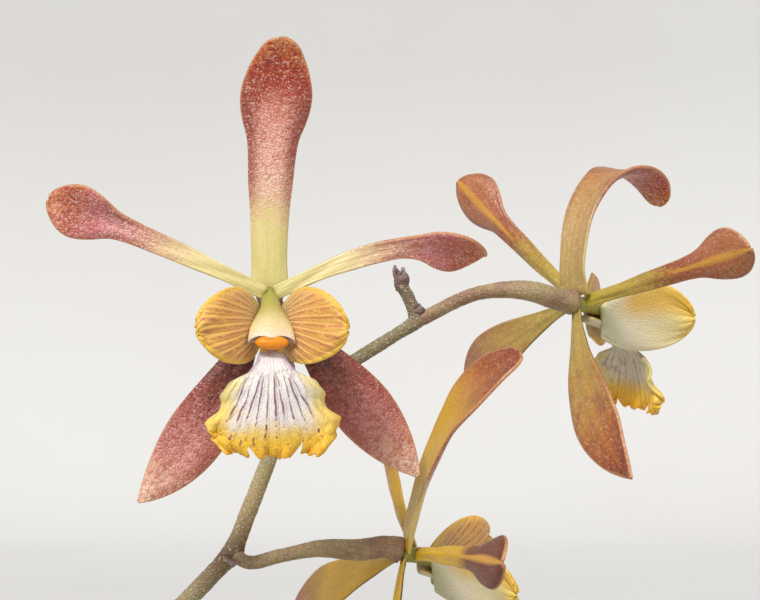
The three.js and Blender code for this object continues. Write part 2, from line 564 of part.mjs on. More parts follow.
function bloomGroup(name, bloom) {
  const group = new THREE.Group();
  group.applyMatrix4(bloomTurn(bloom));
  group.position.set(...bloom.at);
  const tepals = [
    ['dorsal_sepal', bloom.dorsal, DORSAL, TEPAL.sepalLayer],
    ['left_sepal', bloom.sepalLeft, LATERAL, TEPAL.sepalLayer],
    ['right_sepal', bloom.sepalRight, LATERAL, TEPAL.sepalLayer],
    ['left_petal', bloom.petalLeft, PETAL, TEPAL.petalLayer],
    ['right_petal', bloom.petalRight, PETAL, TEPAL.petalLayer],
  ];
  for (const [part, pose, shape, layer] of tepals)
    group.add(node(`${name}_bloom_${part}`, tepalSkin(pose, shape, layer), 'tepal'));
  const centre = new THREE.Group();
  centre.rotation.x = -bloom.lipLean * DEG;
  centre.add(
    node(`${name}_bloom_lip`, toGeometry(lipSolid(bloom.skirt)), 'lip'),
    node(`${name}_bloom_column`, columnSkin(), 'column'),
    node(`${name}_bloom_anther`, antherSkin(), 'anther', 0.3),
  );
  group.add(centre);
  return group;
}

const plant = new THREE.Group();
plant.add(
  node('pot', toGeometry(potWall()), 'clay', 0.9),
  node('bark_mix', toGeometry(barkSolid()), 'bark', 0.95),
  node('rhizome_and_roots', toGeometry(rhizomeSolid()), 'root', 0.8),
  node('flowering_stem', toGeometry(floweringStem()), 'stem'),
);
BULBS.forEach((bulb, i) => plant.add(node(`pseudobulb_${i + 1}`, bulbSkin(bulb), 'bulb')));
LEAVES.forEach((leaf, i) => plant.add(node(`leaf_${i + 1}`, leafSkin(leaf), 'leaf', 0.5)));
for (const [name, bloom] of Object.entries(BLOOMS)) {
  plant.add(node(`${name}_bloom_pedicel`, toGeometry(pedicelSolid(bloom)), 'pedicel'));
  plant.add(bloomGroup(name, bloom));
}

export default plant;
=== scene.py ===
"""Dresses a potted orchid in flower: a clay pot of bark, pseudobulbs, strap leaves and three blooms."""
import math

import bpy
import numpy as np
from bpy.props import FloatProperty, FloatVectorProperty, PointerProperty
from mathutils import Matrix, Vector


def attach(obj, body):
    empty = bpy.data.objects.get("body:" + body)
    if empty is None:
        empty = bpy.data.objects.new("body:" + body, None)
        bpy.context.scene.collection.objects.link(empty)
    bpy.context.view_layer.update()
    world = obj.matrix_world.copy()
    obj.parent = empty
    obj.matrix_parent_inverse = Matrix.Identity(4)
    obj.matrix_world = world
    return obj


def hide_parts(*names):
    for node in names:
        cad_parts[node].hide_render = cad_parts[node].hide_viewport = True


bl_info = {
    "name": "Potted orchid",
    "version": (1, 0, 0),
    "blender": (4, 5, 0),
    "location": "View3D > Sidebar > Orchid",
    "description": "Models and paints a potted orchid round its packed frame",
    "category": "Object",
}

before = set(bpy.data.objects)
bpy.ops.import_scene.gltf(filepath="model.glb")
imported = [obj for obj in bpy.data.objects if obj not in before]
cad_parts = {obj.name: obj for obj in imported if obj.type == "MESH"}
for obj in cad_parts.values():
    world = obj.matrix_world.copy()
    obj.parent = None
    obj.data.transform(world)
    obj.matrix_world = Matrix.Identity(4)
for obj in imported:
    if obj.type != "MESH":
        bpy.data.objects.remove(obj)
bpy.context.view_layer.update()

# Pieces are modelled in millimetres and brought to metres when they are done
MM = 0.001
TURN = 2 * math.pi

# Blades: steps of the middle line, how far behind the root their fan starts, and the smallest bow in radians
LINE_STEPS, FAN_START, FLAT = 240, 1.0, 1e-3

# Pot and bark
POT = {
    "height": 92, "base": 36, "body_top": 47, "band_bottom": 51.5, "rim": 55,
    "band": 22, "wall": 6, "floor": 7, "rounding": 1.8,
}
BAND_BOTTOM = POT["height"] - POT["band"]
DRAIN = {"radius": 5, "ring": 19, "count": 4}
BARK_LEVEL = 83
SEAT_GAP = 0.3

# Seeds of all that is random
BARK_SEED, SHEATH_SEED = 5, 3

# Bark chips: how many shapes, and the span of each side as a share of the longest
CHIP_SHAPES = 5
CHIP = (0.65, 1), (0.41, 0.65), (0.18, 0.32)

# Layers of chips: count, depth, size, clearance round the bulbs, and the turn from one chip to the next
CHIP_LAYERS = [(150, 3.4, 0.85, 0), (120, 0.4, 0.8, 6), (130, 0.6, 0.42, 3)]
GOLDEN_ANGLE = 2.399963

# Rhizome, roots and pseudobulbs, from the oldest growth to the youngest
BULBS = [
    {"x": -30, "y": 12, "radius": 8.0, "height": 29, "sheath": 15},
    {"x": -11, "y": 5, "radius": 9.2, "height": 35, "sheath": 12},
    {"x": 9, "y": -3, "radius": 9.9, "height": 39, "sheath": 14},
    {"x": 28.5, "y": -9, "radius": 7.4, "height": 27, "sheath": 17},
]
BULB = {"foot": 4.2, "shoulder": 4.6, "fullest": 0.34, "ridges": 9, "ridge_depth": 0.035}
RHIZOME = {"radius": 2.9, "depth": 3.1, "overhang": 6}
ROOTS = [(0, 205, 12), (1, 8, 20), (1, 190, 20), (2, 15, 21), (2, 196, 20), (3, 200, 16)]
ROOT = {"radius": 1.25, "dive": 24}

# Leaves: the pseudobulb they stand on, length, compass heading, rise, arch, half-width and twist
LEAVES = [
    (0, 104, -78, 60, 62, 6.6, 14),
    (1, 128, -34, 70, 66, 7.4, -10),
    (1, 118, 206, 66, 74, 7.0, 12),
    (2, 146, 14, 72, 70, 7.8, -8),
    (2, 132, 168, 66, 80, 7.6, 10),
    (3, 100, 22, 66, 58, 6.4, 10),
    (3, 112, 150, 60, 66, 6.8, -12),
]
LEAF = {"foot": 3.3, "foot_cup": 66, "blade_cup": 26}

# Flowering stem
STEM_COURSE = [(8.6, -3.6, 152), (5.2, -3.4, 196), (4.4, -2.6, 234)]
JOINTS = [(8.4, -2.0, 253.6), (16.3, -2.0, 261.8), (21.7, -2.2, 275.7), (33.0, 0.0, 282.7)]
WITHERED_TIP = [(32.5, -0.1, 284.0), (31.9, -0.3, 285.3), (31.3, -0.4, 286.2)]
STEM = {"foot": 1.25, "neck": 0.84, "tip": 0.56, "knot": 1.25}
STEM_SHEATHS = {"from": (0.2, 0.5, 0.8), "span": 0.085}
BRACTS = [
    {"at": "tip", "length": 2.6, "heading": -58, "rise": 66},
    {"at": "tip", "length": 2.3, "heading": 60, "rise": 78},
    {"at": "tip", "length": 2.2, "heading": 170, "rise": 62},
    {"at": 1, "length": 2.4, "heading": 175, "rise": -30},
    {"at": 3, "length": 1.9, "heading": 180, "rise": 50},
]

# Outlines: half-widths by share of the length, or of claw and blade with the flare between, and the round tip
DORSAL = {"halves": [
    (0, 1.62), (0.2, 1.68), (0.33, 1.86), (0.42, 2.06), (0.53, 2.24), (0.59, 2.42), (0.65, 2.9), (0.71, 3.16),
    (0.77, 3.16), (0.82, 2.94), (0.87, 2.62), (0.93, 2.24), (1, 2.3),
], "round_from": 0.86, "square": 2.4, "taper": 0.5}
LATERAL = {"claw": 0.5, "blade": 2.72, "flare": (0, 0.64), "round_from": 0.62, "square": 1.9, "taper": 0.85}
PETAL = {"halves": [
    (0, 0.62), (0.22, 0.68), (0.36, 0.86), (0.5, 0.96), (0.62, 1.06), (0.7, 1.35), (0.77, 2.1), (0.84, 2.6),
    (0.91, 2.62), (1, 2.2),
], "round_from": 0.84, "square": 2.3, "taper": 0.52}
LOBE = {"halves": [(0, 1.5), (0.15, 2.5), (0.3, 3.15), (0.45, 3.35), (0.6, 3.3), (1, 3.1)],
        "round_from": 0.5, "square": 2.2, "taper": 0.55}
BRACT = {"claw": 0.55, "blade": 0.8, "flare": (0, 0.5), "round_from": 0.45, "square": 1.8, "taper": 0.8}
LEAF_OUTLINE = {"claw": 3.1, "flare": (0, 0.42), "round_from": 0.62, "square": 1.8, "taper": 0.75}

# Flower parts
SEPAL_LAYER, PETAL_LAYER = -0.31, 0.61
TEPAL = {"seat": 0.45, "overlap": 0.65}
PEDICEL = {"radius": 0.62, "ovary": 0.98, "disc": 1.2, "face": -0.62}
SIDE_LOBE = {"root": (0.86, -2.35, 1.75), "length": 9.0, "heading": 96, "rise": 68, "curl": -50}
LIP_CLAW = {"from": (0, -1.75, 0.6), "length": 5.7, "heading": 180, "rise": 62, "curl": -12, "curl_power": 1}
LIP_CLAW_HALF, LIP_CLAW_CUP = 1.05, 20
MID_LOBE = {"root": (0, -4.65, 4.95), "lean": 1.6, "notches": [(0.42, 0.1), (-0.43, 0.14)]}
MID_HALVES = [
    (0, 1.0), (0.12, 1.32), (0.2, 2.0), (0.3, 4.1), (0.42, 5.2), (0.55, 5.3), (0.7, 6.4), (0.85, 5.7),
    (1, 4.2),
]
MID_CUPS = [(0, -8), (0.3, -34), (0.48, -58), (0.7, -42), (1, -26)]
COLUMN_COURSE = {
    "from": (0, 0, -0.6), "length": 7.2, "heading": 180, "rise": 74, "curl": -34, "curl_power": 1.2,
}
COLUMN_OUTSIDE = 0.78
COLUMN_WIDTHS = [(0, 0.78), (0.3, 0.82), (0.5, 1.0), (0.68, 1.42), (0.84, 1.82), (1, 1.95)]
COLUMN_DEPTHS = [(0, 0.72), (0.25, 0.7), (0.5, 0.85), (0.75, 0.9), (1, 0.55)]
ANTHER = {"half_width": 1.45, "half_depth": 0.58, "half_height": 0.64}

# Colours of sepals and petals in front and behind, and the strength of what is painted over them
TEPAL_COATS = {
    "dorsal_sepal": {"front": [
        (0, "#cfc276"), (0.24, "#d8c884"), (0.36, "#e2bf98"), (0.5, "#f2c8b4"), (0.64, "#efb4a0"),
        (0.73, "#e8a18e"), (0.79, "#bf5038"), (0.86, "#b8402a"), (0.93, "#d06c30"), (1, "#dc9858"),
    ], "behind": [
        (0, "#a8904e"), (0.35, "#c09a60"), (0.6, "#b57a40"), (0.8, "#a85828"), (1, "#7c2c14"),
    ], "stripe": 0.1, "flush": 0.85, "painted_from": (0.2, 0.54), "sparkle": 1.0},
    "petal": {"front": [
        (0, "#dccf8a"), (0.3, "#f0dfa0"), (0.5, "#f8deb0"), (0.62, "#f4c0ae"), (0.74, "#ecaab0"),
        (0.86, "#d07a6c"), (1, "#dc9462"),
    ], "behind": [
        (0, "#b9a83c"), (0.45, "#ad8a30"), (0.58, "#a5522a"), (0.7, "#b06444"), (1, "#b06c40"),
    ], "stripe": 0.9, "flush": 0.45, "painted_from": (0.3, 0.62), "sparkle": 0.95},
    # The lateral sepals' front is darkest near the root: partly their own purple-brown, partly painted shadow
    # of the lip
    "lateral_sepal": {"front": [
        (0, "#a8873f"), (0.1, "#40160f"), (0.3, "#4a1c16"), (0.45, "#8a463c"), (0.58, "#b66a62"),
        (0.74, "#cf8a80"), (0.9, "#dcab90"), (1, "#ecc8ac"),
    ], "behind": [
        (0, "#a4964a"), (0.3, "#b0903f"), (0.58, "#b2823c"), (0.78, "#a45c30"), (0.9, "#8c3e26"),
        (1, "#70281a"),
    ], "stripe": 0.15, "flush": 0.55, "painted_from": (0.22, 0.55), "sparkle": 0.5},
}

# Each bloom: its middle and facing, its pedicel, the lean of its lip, and the pose of each sepal and petal
BLOOMS = {
    "front": {
        "at": (20, -14, 285), "yaw": 3, "pitch": 0, "roll": 0,
        "joint": 2, "course": [(21.2, -4.9, 279.6), (20.3, -8.6, 283.6)],
        "lip_lean": 0, "skirt": {"length": 10.1, "rise": 52, "curl": -78}, "spread": 1,
        "dorsal": {"length": 22, "heading": -1, "bend": 8, "rise": -9, "curl": 46, "curl_power": 2.6},
        "dorsal_cups": (-34, 8),
        "left_petal": {"length": 19.9, "heading": -64, "bend": -5, "rise": 8, "curl": -14, "twist": -14},
        "right_petal": {
            "length": 18.7, "heading": 64.5, "bend": 46, "bend_power": 2, "rise": 7, "curl": -24, "twist": 48,
        },
        "petal_cups": (24, 30), "petal_wave": 0.5,
        "left_sepal": {
            "length": 20.4, "heading": -155, "bend": 23, "bend_power": 2, "rise": -4, "curl": 12, "twist": 6,
        },
        "right_sepal": {"length": 19.5, "heading": 140, "bend": 1, "rise": -8, "curl": 12, "twist": -6},
        "sepal_cups": (-10, -8),
    },
    "right": {
        "at": (47.5, 1.5, 284.4), "yaw": 134, "pitch": -4, "roll": 7,
        "joint": 3, "course": [(37.7, -1.0, 285.0), (40.4, -1.8, 285.5), (43.1, -2.0, 285.4)],
        "lip_lean": 20, "skirt": {"length": 7.8, "rise": 40, "curl": -56}, "spread": 0.85,
        "dorsal": {"length": 20.5, "heading": 17, "bend": -15, "rise": 5, "curl": 152, "curl_power": 2},
        "dorsal_cups": (-34, -10),
        "left_petal": {"length": 20, "heading": -70, "rise": -3, "curl": 2, "twist": 26},
        "right_petal": {"length": 20, "heading": 69, "bend": -11, "rise": 8, "curl": -15},
        "petal_cups": (26, 26), "petal_wave": 0.3,
        "left_sepal": {"length": 20.6, "heading": -144, "bend": 22, "rise": -24, "curl": 21},
        "right_sepal": {"length": 20.4, "heading": 120, "bend": 5, "rise": -1, "curl": 42},
        "sepal_cups": (-12, -12),
    },
    "lower": {
        "at": (32.1, -5, 262.1), "yaw": 105, "pitch": -14, "roll": 20,
        "joint": 1,
        "course": [(17.9, -3.5, 261.1), (20.7, -5, 261.8), (24.2, -6, 262.5), (27.8, -6.2, 262.4)],
        "lip_lean": 26, "skirt": {"length": 8.6, "rise": 36, "curl": -60}, "spread": 0.9,
        "dorsal": {"length": 22, "heading": -7, "bend": -11, "rise": -7, "curl": 43, "curl_power": 2},
        "dorsal_cups": (-30, -20),
        "left_petal": {"length": 20, "heading": -66, "bend": -3, "rise": 4, "curl": 2},
        "right_petal": {"length": 19, "heading": 80, "bend": -6, "rise": -6, "curl": 10},
        "petal_cups": (26, 26), "petal_wave": 0.3,
        "left_sepal": {"length": 20.5, "heading": -141, "rise": -1},
        "right_sepal": {"length": 20.5, "heading": 134, "bend": -1, "rise": -17, "curl": 16},
        "sepal_cups": (-12, -12),
    },
}

# Camera and studio, in metres, with the heading, height and softness of each light in degrees
CAMERA_AT = (0.02957, -0.374, 0.2846)
FOCAL_LENGTH_MM, SENSOR_WIDTH_MM = 196.1, 36
COVE = {"bend": 0.6, "height": 1.3, "thickness": 0.2}
LIGHTS = {"key": (-26, 46, 14), "fill": (55, 35, 50)}
LIGHT_DISTANCE = 3


# Numbers and curves

def paint(code):
    """The linear colour of a #rrggbb code, with full alpha."""
    shares = [int(code[i:i + 2], 16) / 255 for i in (1, 3, 5)]
    return (*[c / 12.92 if c <= 0.04045 else ((c + 0.055) / 1.055) ** 2.4 for c in shares], 1.0)


def smooth(start, end, t):
    """0 before start, 1 after end, and an S between them."""
    share = np.clip((t - start) / (end - start), 0, 1)
    return share * share * (3 - 2 * share)


def lerp(low, high, t):
    return low + (high - low) * t


def along(stations, t):
    """A value read from a short list of (share, value) pairs, smoothly between them."""
    value = np.full(np.shape(t), float(stations[0][1]))
    for (t0, v0), (t1, v1) in zip(stations, stations[1:]):
        value = np.where(t >= t0, lerp(v0, v1, smooth(t0, t1, t)), value)
    return value


def fair(stations, t):
    """A value read from a short list of (share, value) pairs by a fair curve through them."""
    place, value = np.array(stations, float).T
    slope = np.gradient(value, place)
    i = np.clip(np.searchsorted(place, t, side="right") - 1, 0, len(place) - 2)
    gap = place[i + 1] - place[i]
    u = np.clip((t - place[i]) / gap, 0, 1)
    leave = (1 - u) ** 2 * ((1 + 2 * u) * value[i] + u * gap * slope[i])
    return leave + u * u * ((3 - 2 * u) * value[i + 1] + (u - 1) * gap * slope[i + 1])


def outline(shape, tip=0.12):
    """Half-width of a claw that flares into a blade and rounds off at its tip, by share of the length."""
    def half(t):
        past = np.clip((t - shape["round_from"]) / (1 - shape["round_from"]), 0, 1)
        rounded = (1 - past ** shape["square"]) ** shape["taper"]
        if "halves" in shape:
            full = fair(shape["halves"], t)
        else:
            full = lerp(shape["claw"], shape["blade"], smooth(*shape["flare"], t))
        return np.maximum(tip, full * rounded)
    return half


def unit(vectors):
    return vectors / np.linalg.norm(vectors, axis=-1, keepdims=True)


def compass(heading):
    """The level direction at a compass heading in degrees, clockwise from +Y."""
    return np.array([math.sin(math.radians(heading)), math.cos(math.radians(heading)), 0])


def lengths_along(points):
    """How far along its path each point lies."""
    return np.concatenate([[0], np.cumsum(np.linalg.norm(np.diff(points, axis=0), axis=1))])


def respaced(points, spacing):
    """The same path with its points evenly spaced."""
    points = np.asarray(points, float)
    reach = lengths_along(points)
    count = max(2, round(reach[-1] / spacing)) + 1
    stops = np.linspace(0, reach[-1], count)
    return np.stack([np.interp(stops, reach, points[:, axis]) for axis in range(3)], axis=-1)


def curve_through(points, spacing):
    """A centripetal curve through points, as evenly spaced points."""
    knots = np.asarray(points, float)
    ends = [2 * knots[0] - knots[1], *knots, 2 * knots[-1] - knots[-2]]
    t = np.linspace(0, 1, 24, endpoint=False)[:, None]
    pieces = []
    for a, b, c, d in zip(ends, ends[1:], ends[2:], ends[3:]):
        ab, bc, cd = (np.linalg.norm(q - p) ** 0.5 for p, q in ((a, b), (b, c), (c, d)))
        leave = ((b - a) / ab - (c - a) / (ab + bc) + (c - b) / bc) * bc
        arrive = ((c - b) / bc - (d - b) / (bc + cd) + (d - c) / cd) * bc
        bow = (3 * (c - b) - 2 * leave - arrive) * t**2
        pieces.append(b + leave * t + bow + (2 * (b - c) + leave + arrive) * t**3)
    return respaced(np.vstack([*pieces, knots[-1:]]), spacing)


def softened(points, reach):
    """A path with its corners rounded over a few points on each side. Its ends stay."""
    padded = np.vstack([np.repeat(points[:1], reach, 0), points, np.repeat(points[-1:], reach, 0)])
    weights = np.hanning(2 * reach + 3)[1:-1]
    weights /= weights.sum()
    soft = np.stack([np.convolve(padded[:, axis], weights, "valid") for axis in range(3)], axis=-1)
    soft[0], soft[-1] = points[0], points[-1]
    return soft


def middle_line(pose):
    """A blade's middle line, as a function of the share of its length that gives point and directions.

    It heads one way in the x-y plane and rises out of it, then bends in the plane and curls out of it.
    """
    def directions(t):
        turn = np.radians(pose["heading"] + pose.get("bend", 0) * t ** pose.get("bend_power", 1))
        lift = np.radians(pose["rise"] + pose.get("curl", 0) * t ** pose.get("curl_power", 1.6))[..., None]
        flat = np.stack([np.sin(turn), np.cos(turn), 0 * t], axis=-1)
        up = np.array([0.0, 0.0, 1.0])
        forward = flat * np.cos(lift) + up * np.sin(lift)
        face = up * np.cos(lift) - flat * np.sin(lift)
        return forward, face, np.cross(forward, face)

    stops = np.linspace(0, 1, LINE_STEPS + 1)
    steps = directions((stops[1:] + stops[:-1]) / 2)[0] * pose["length"] / LINE_STEPS
    points = np.vstack([np.zeros(3), np.cumsum(steps, axis=0)]) + np.array(pose["from"], float)

    def at(t):
        point = np.stack([np.interp(t, stops, points[:, axis]) for axis in range(3)], axis=-1)
        return (point, *directions(t))
    return at


# Meshes

def deselect():
    bpy.ops.object.select_all(action="DESELECT")


def pick(*pieces):
    """Select these pieces alone and make the first one active."""
    deselect()
    for piece in pieces:
        piece.select_set(True)
    bpy.context.view_layer.objects.active = pieces[0]


def corners(piece):
    places = np.empty(len(piece.data.vertices) * 3)
    piece.data.vertices.foreach_get("co", places)
    return places.reshape(-1, 3)


def move_corners(piece, places):
    piece.data.vertices.foreach_set("co", np.asarray(places, float).ravel())
    piece.data.update()


def note(piece, **values):
    """Keep a number for each corner under each of these names, for the materials to read."""
    for name, numbers in values.items():
        attribute = piece.data.attributes.get(name) or piece.data.attributes.new(name, "FLOAT", "POINT")
        attribute.data.foreach_set("value", np.broadcast_to(numbers, len(piece.data.vertices)).astype(float))


def shape_with(piece, kind, **settings):
    """Add one modifier to a piece and apply it."""
    pick(piece)
    modifier = piece.modifiers.new(kind.title(), kind)
    for name, value in settings.items():
        setattr(modifier, name, value)
    bpy.ops.object.modifier_apply(modifier=modifier.name)


def mend(piece, reach=1e-4, fill=True):
    """Merge corners that meet, close the ends and turn every face outwards."""
    pick(piece)
    bpy.ops.object.mode_set(mode="EDIT")
    bpy.ops.mesh.select_all(action="SELECT")
    bpy.ops.mesh.remove_doubles(threshold=reach)
    if fill:
        bpy.ops.mesh.fill_holes(sides=0)
    bpy.ops.mesh.normals_make_consistent(inside=False)
    bpy.ops.object.mode_set(mode="OBJECT")


def added(kind, name, **settings):
    """A new primitive with this name, alone in the selection."""
    deselect()
    getattr(bpy.ops.mesh, f"primitive_{kind}_add")(**settings)
    piece = bpy.context.object
    piece.name = piece.data.name = name
    return piece


def unit_grid(name, columns, rows):
    """A flat grid one unit wide and long, with each corner's share across it and share along it."""
    piece = added("grid", name, x_subdivisions=columns, y_subdivisions=rows, size=1)
    across, along_it = corners(piece)[:, :2].T
    return piece, across + 0.5, along_it + 0.5


def still(value):
    """A function that gives the same value everywhere."""
    return lambda *shares: value + 0 * shares[0]


def blade(name, pose, half, cup=still(0), twist=still(0), wave=still(0), reach=still(1), thickness=0.62,
          rim=0.5, columns=14, rows=36, crowd=1.35):
    """A thin closed blade along a middle line.

    half(t) is its half-width, cup(t) how far each half turns towards the face, twist(t) its turn about the
    line, wave(s, t) the lift of its surface and reach(s) how far up the line each strip goes. The attribute
    fan is the direction from a point just behind its root, in degrees.
    """
    piece, across, row = unit_grid(name, columns, rows)
    s = np.clip(2 * across - 1, -1, 1)
    t = (1 - np.clip(1 - row, 0, 1) ** crowd) * reach(s)
    point, forward, face, side = middle_line(pose)(t)
    turn = np.radians(twist(t))[:, None]
    up = face * np.cos(turn) + side * np.sin(turn)
    out = side * np.cos(turn) - face * np.sin(turn)
    bow = np.radians(cup(t))
    bow = np.where(np.abs(bow) < FLAT, FLAT, bow)
    width = half(t)
    sideways = width / bow * np.sin(bow * s)
    lift = width / bow * (1 - np.cos(bow * s)) + wave(s, t)
    move_corners(piece, point + out * sideways[:, None] + up * lift[:, None])

    margin = np.minimum((1 - np.abs(s)) * width, (1 - t) * pose["length"] + 0 * s)
    group = piece.vertex_groups.new(name="fullness")
    for index, weight in enumerate(lerp(rim, 1, smooth(0, 0.9, margin))):
        group.add([index], float(weight), "REPLACE")
    shape_with(piece, "SOLIDIFY", thickness=thickness, offset=0, vertex_group="fullness")
    fan = np.degrees(np.arctan2(width * s, t * pose["length"] + FAN_START))
    both = {key: np.tile(value, 2) for key, value in dict(across=s, along=t, margin=margin, fan=fan).items()}
    note(piece, back=np.repeat([0.0, 1.0], len(s)), **both)
    shape_with(piece, "SUBSURF", levels=1, render_levels=1)
    piece.vertex_groups.clear()
    return piece


def tube(name, centres, radii, sides):
    """A round closed tube along a path, with a radius at each of its points."""
    centres, last = np.asarray(centres, float), len(centres) - 1
    radii = np.broadcast_to(radii, len(centres))
    forward = unit(np.gradient(centres, axis=0))
    out = np.empty_like(centres)
    start = np.array([0.3, 1.0, 0.2])
    for i, way in enumerate(forward):
        start = unit(start - way * (start @ way))
        out[i] = start
    side = np.cross(forward, out)
    piece, turn, share = unit_grid(name, sides, last)
    row, angle = np.rint(share * last).astype(int), TURN * turn
    spoke = out[row] * np.cos(angle)[:, None] + side[row] * np.sin(angle)[:, None]
    move_corners(piece, centres[row] + radii[row][:, None] * spoke)
    note(piece, along=row / last)
    mend(piece)
    return piece


def lathe(name, profile, steps):
    """A solid turned round the z axis from a closed profile of (radius, height) pairs."""
    piece = added("circle", name, vertices=len(profile), radius=1)
    move_corners(piece, [(radius, 0, height) for radius, height in profile])
    shape_with(piece, "SCREW", steps=steps, render_steps=steps, use_merge_vertices=True, merge_threshold=1e-3)
    mend(piece, 1e-3, fill=False)
    return piece


def rounded(points, reach, steps=4):
    """A polyline with each inner corner turned into a short curve."""
    points = [np.array(p, float) for p in points]
    path = [points[0]]
    for before, corner, after in zip(points, points[1:], points[2:]):
        ways = (before - corner, after - corner)
        start, end = (corner + unit(way) * min(reach, np.linalg.norm(way) / 2) for way in ways)
        for t in np.linspace(0, 1, steps + 1):
            path.append((1 - t) ** 2 * start + 2 * t * (1 - t) * corner + t * t * end)
    return [*path, points[-1]]


def roughen(piece, pattern, size, depth, **settings):
    """Raise the surface by a procedural pattern, with bumps of this size and depth in millimetres."""
    texture = bpy.data.textures.new(piece.name + "_relief", pattern)
    texture.noise_scale = size
    for name, value in settings.items():
        setattr(texture, name, value)
    shape_with(piece, "DISPLACE", texture=texture, texture_coords="LOCAL", strength=depth, mid_level=0.5)


def dress(piece, made):
    """Give the piece this material alone."""
    piece.data.materials.clear()
    piece.data.materials.append(made)
    return piece


def joined(name, pieces):
    """One piece made of several. The first one's materials come first."""
    pick(*pieces)
    if len(pieces) > 1:
        bpy.ops.object.join()
    piece = bpy.context.object
    piece.name = piece.data.name = name
    return piece


def hand_over(piece, node, turn=Matrix.Identity(4), crease=None):
    """Put a piece in its place, in metres, and smooth it. It rides on the one body in place of a CAD node."""
    piece.data.transform(Matrix.Scale(MM, 4) @ turn)
    pick(piece)
    bpy.ops.object.shade_smooth()
    if crease:
        bpy.ops.object.shade_smooth_by_angle(angle=math.radians(crease))
    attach(piece, "root")
    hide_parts(node)


# Node trees

class Tree:
    """A node tree, with short calls for the nodes that the materials use. A colour may be a #rrggbb code."""

    def __init__(self, tree):
        self.tree = tree

    def feed(self, sockets, values):
        """Link or set each named or numbered socket."""
        for name, value in values.items():
            if isinstance(value, bpy.types.NodeSocket):
                self.tree.links.new(value, sockets[name])
            elif value is not None:
                sockets[name].default_value = paint(value) if isinstance(value, str) else value

    def add(self, kind, sockets=None, **settings):
        node = self.tree.nodes.new("ShaderNode" + kind)
        for name, value in settings.items():
            setattr(node, name, value)
        self.feed(node.inputs, sockets or {})
        return node

    def math(self, operation, *values):
        return self.add("Math", dict(enumerate(values)), operation=operation).outputs[0]

    def product(self, first, *others):
        for value in others:
            first = self.math("MULTIPLY", first, value)
        return first

    def mix(self, share, first, second, blend="MIX"):
        return self.add("Mix", {0: share, 6: first, 7: second}, data_type="RGBA", blend_type=blend).outputs[2]

    def tint(self, base, colour, *shares):
        """The base mixed with another colour by the product of the shares."""
        return self.mix(self.product(*shares), base, colour)

    def coats(self, base, *coats):
        """The base tinted by each coat in turn. A coat is a colour and the shares that it is laid on with."""
        for colour, *shares in coats:
            base = self.tint(base, colour, *shares)
        return base

    def ease(self, value, start, end, low=0.0, high=1.0):
        """Low before start, high after end, and an S between them."""
        sockets = {"Value": value, "From Min": start, "From Max": end, "To Min": low, "To Max": high}
        return self.add("MapRange", sockets, interpolation_type="SMOOTHSTEP").outputs[0]

    def place(self, stretch=(1, 1, 1)):
        """The object's own coordinates, stretched along its axes."""
        source = self.add("TexCoord").outputs["Object"]
        return self.add("Mapping", {"Vector": source, "Scale": stretch}).outputs[0]

    def height(self):
        return self.add("SeparateXYZ", {"Vector": self.place()}).outputs[2]

    def read(self, *names):
        """The attributes with these names, or the one attribute."""
        found = [self.add("Attribute", attribute_name=name).outputs["Fac"] for name in names]
        return found if len(found) > 1 else found[0]

    def join_xyz(self, x, y, z):
        return self.add("CombineXYZ", {"X": x, "Y": y, "Z": z}).outputs[0]

    def noise(self, vector, size, detail=3.0, roughness=0.55):
        """Noise from 0 to 1 whose patches are about this big, in the units of the vector."""
        sockets = {"Vector": vector, "Scale": 1 / size, "Detail": detail, "Roughness": roughness}
        return self.add("TexNoise", sockets).outputs[0]

    def ramp(self, share, *stops):
        node = self.add("ValToRGB", {"Fac": share})
        elements = node.color_ramp.elements
        elements.remove(elements[1])
        for index, (place, colour) in enumerate(stops):
            element = elements.new(place) if index else elements[0]
            element.position, element.color = place, paint(colour) if isinstance(colour, str) else colour
        return node.outputs[0]

    def bump(self, height, depth, normal=None):
        """Relief of this depth in metres."""
        sockets = {"Height": height, "Distance": depth, "Strength": 1.0, "Normal": normal}
        return self.add("Bump", sockets).outputs[0]

    def group(self, name, **values):
        node = self.add("Group", node_tree=bpy.data.node_groups.get(name) or EFFECTS[name]())
        self.feed(node.inputs, {label.capitalize(): value for label, value in values.items()})
        return node.outputs

    def cells(self, size):
        return self.group("Cells", size=size)

    def blotches(self, size, start=0.45, end=0.6, shift=0.0, detail=4.0):
        return self.group("Blotches", size=size, start=start, end=end, shift=shift, detail=detail)[0]


class Effect(Tree):
    """A new node group with these inputs and number outputs."""

    def __init__(self, name, inputs, *outputs):
        super().__init__(bpy.data.node_groups.new(name, "ShaderNodeTree"))
        sockets = self.tree.interface
        for label, default in inputs.items():
            sockets.new_socket(label, in_out="INPUT", socket_type="NodeSocketFloat").default_value = default
        for label in outputs:
            sockets.new_socket(label, in_out="OUTPUT", socket_type="NodeSocketFloat")
        self.given = self.tree.nodes.new("NodeGroupInput").outputs

    def scale(self):
        return self.math("DIVIDE", 1.0, self.given["Size"])

    def done(self, **values):
        self.feed(self.tree.nodes.new("NodeGroupOutput").inputs, values)
        return self.tree


def cells_effect():
    """Fine surface cells, each a low dome with a tone of its own, some of them glinting: Glint marks where
    painted highlights go, and Gap the hollows between the domes where painted shade goes.
    """
    nodes = Effect("Cells", {"Size": 0.00016}, "Height", "Tone", "Glint", "Gap")
    voronoi = nodes.add("TexVoronoi", {"Vector": nodes.place(), "Scale": nodes.scale()}).outputs
    tones = nodes.add("SeparateColor", {"Color": voronoi["Color"]}).outputs
    dome = nodes.ease(voronoi["Distance"], 0.75, 0.0)
    glint = nodes.product(nodes.ease(tones[1], 0.55, 0.85), nodes.ease(dome, 0.2, 0.7))
    return nodes.done(Height=dome, Tone=tones[0], Glint=glint, Gap=nodes.ease(voronoi["Distance"], 0.4, 0.7))


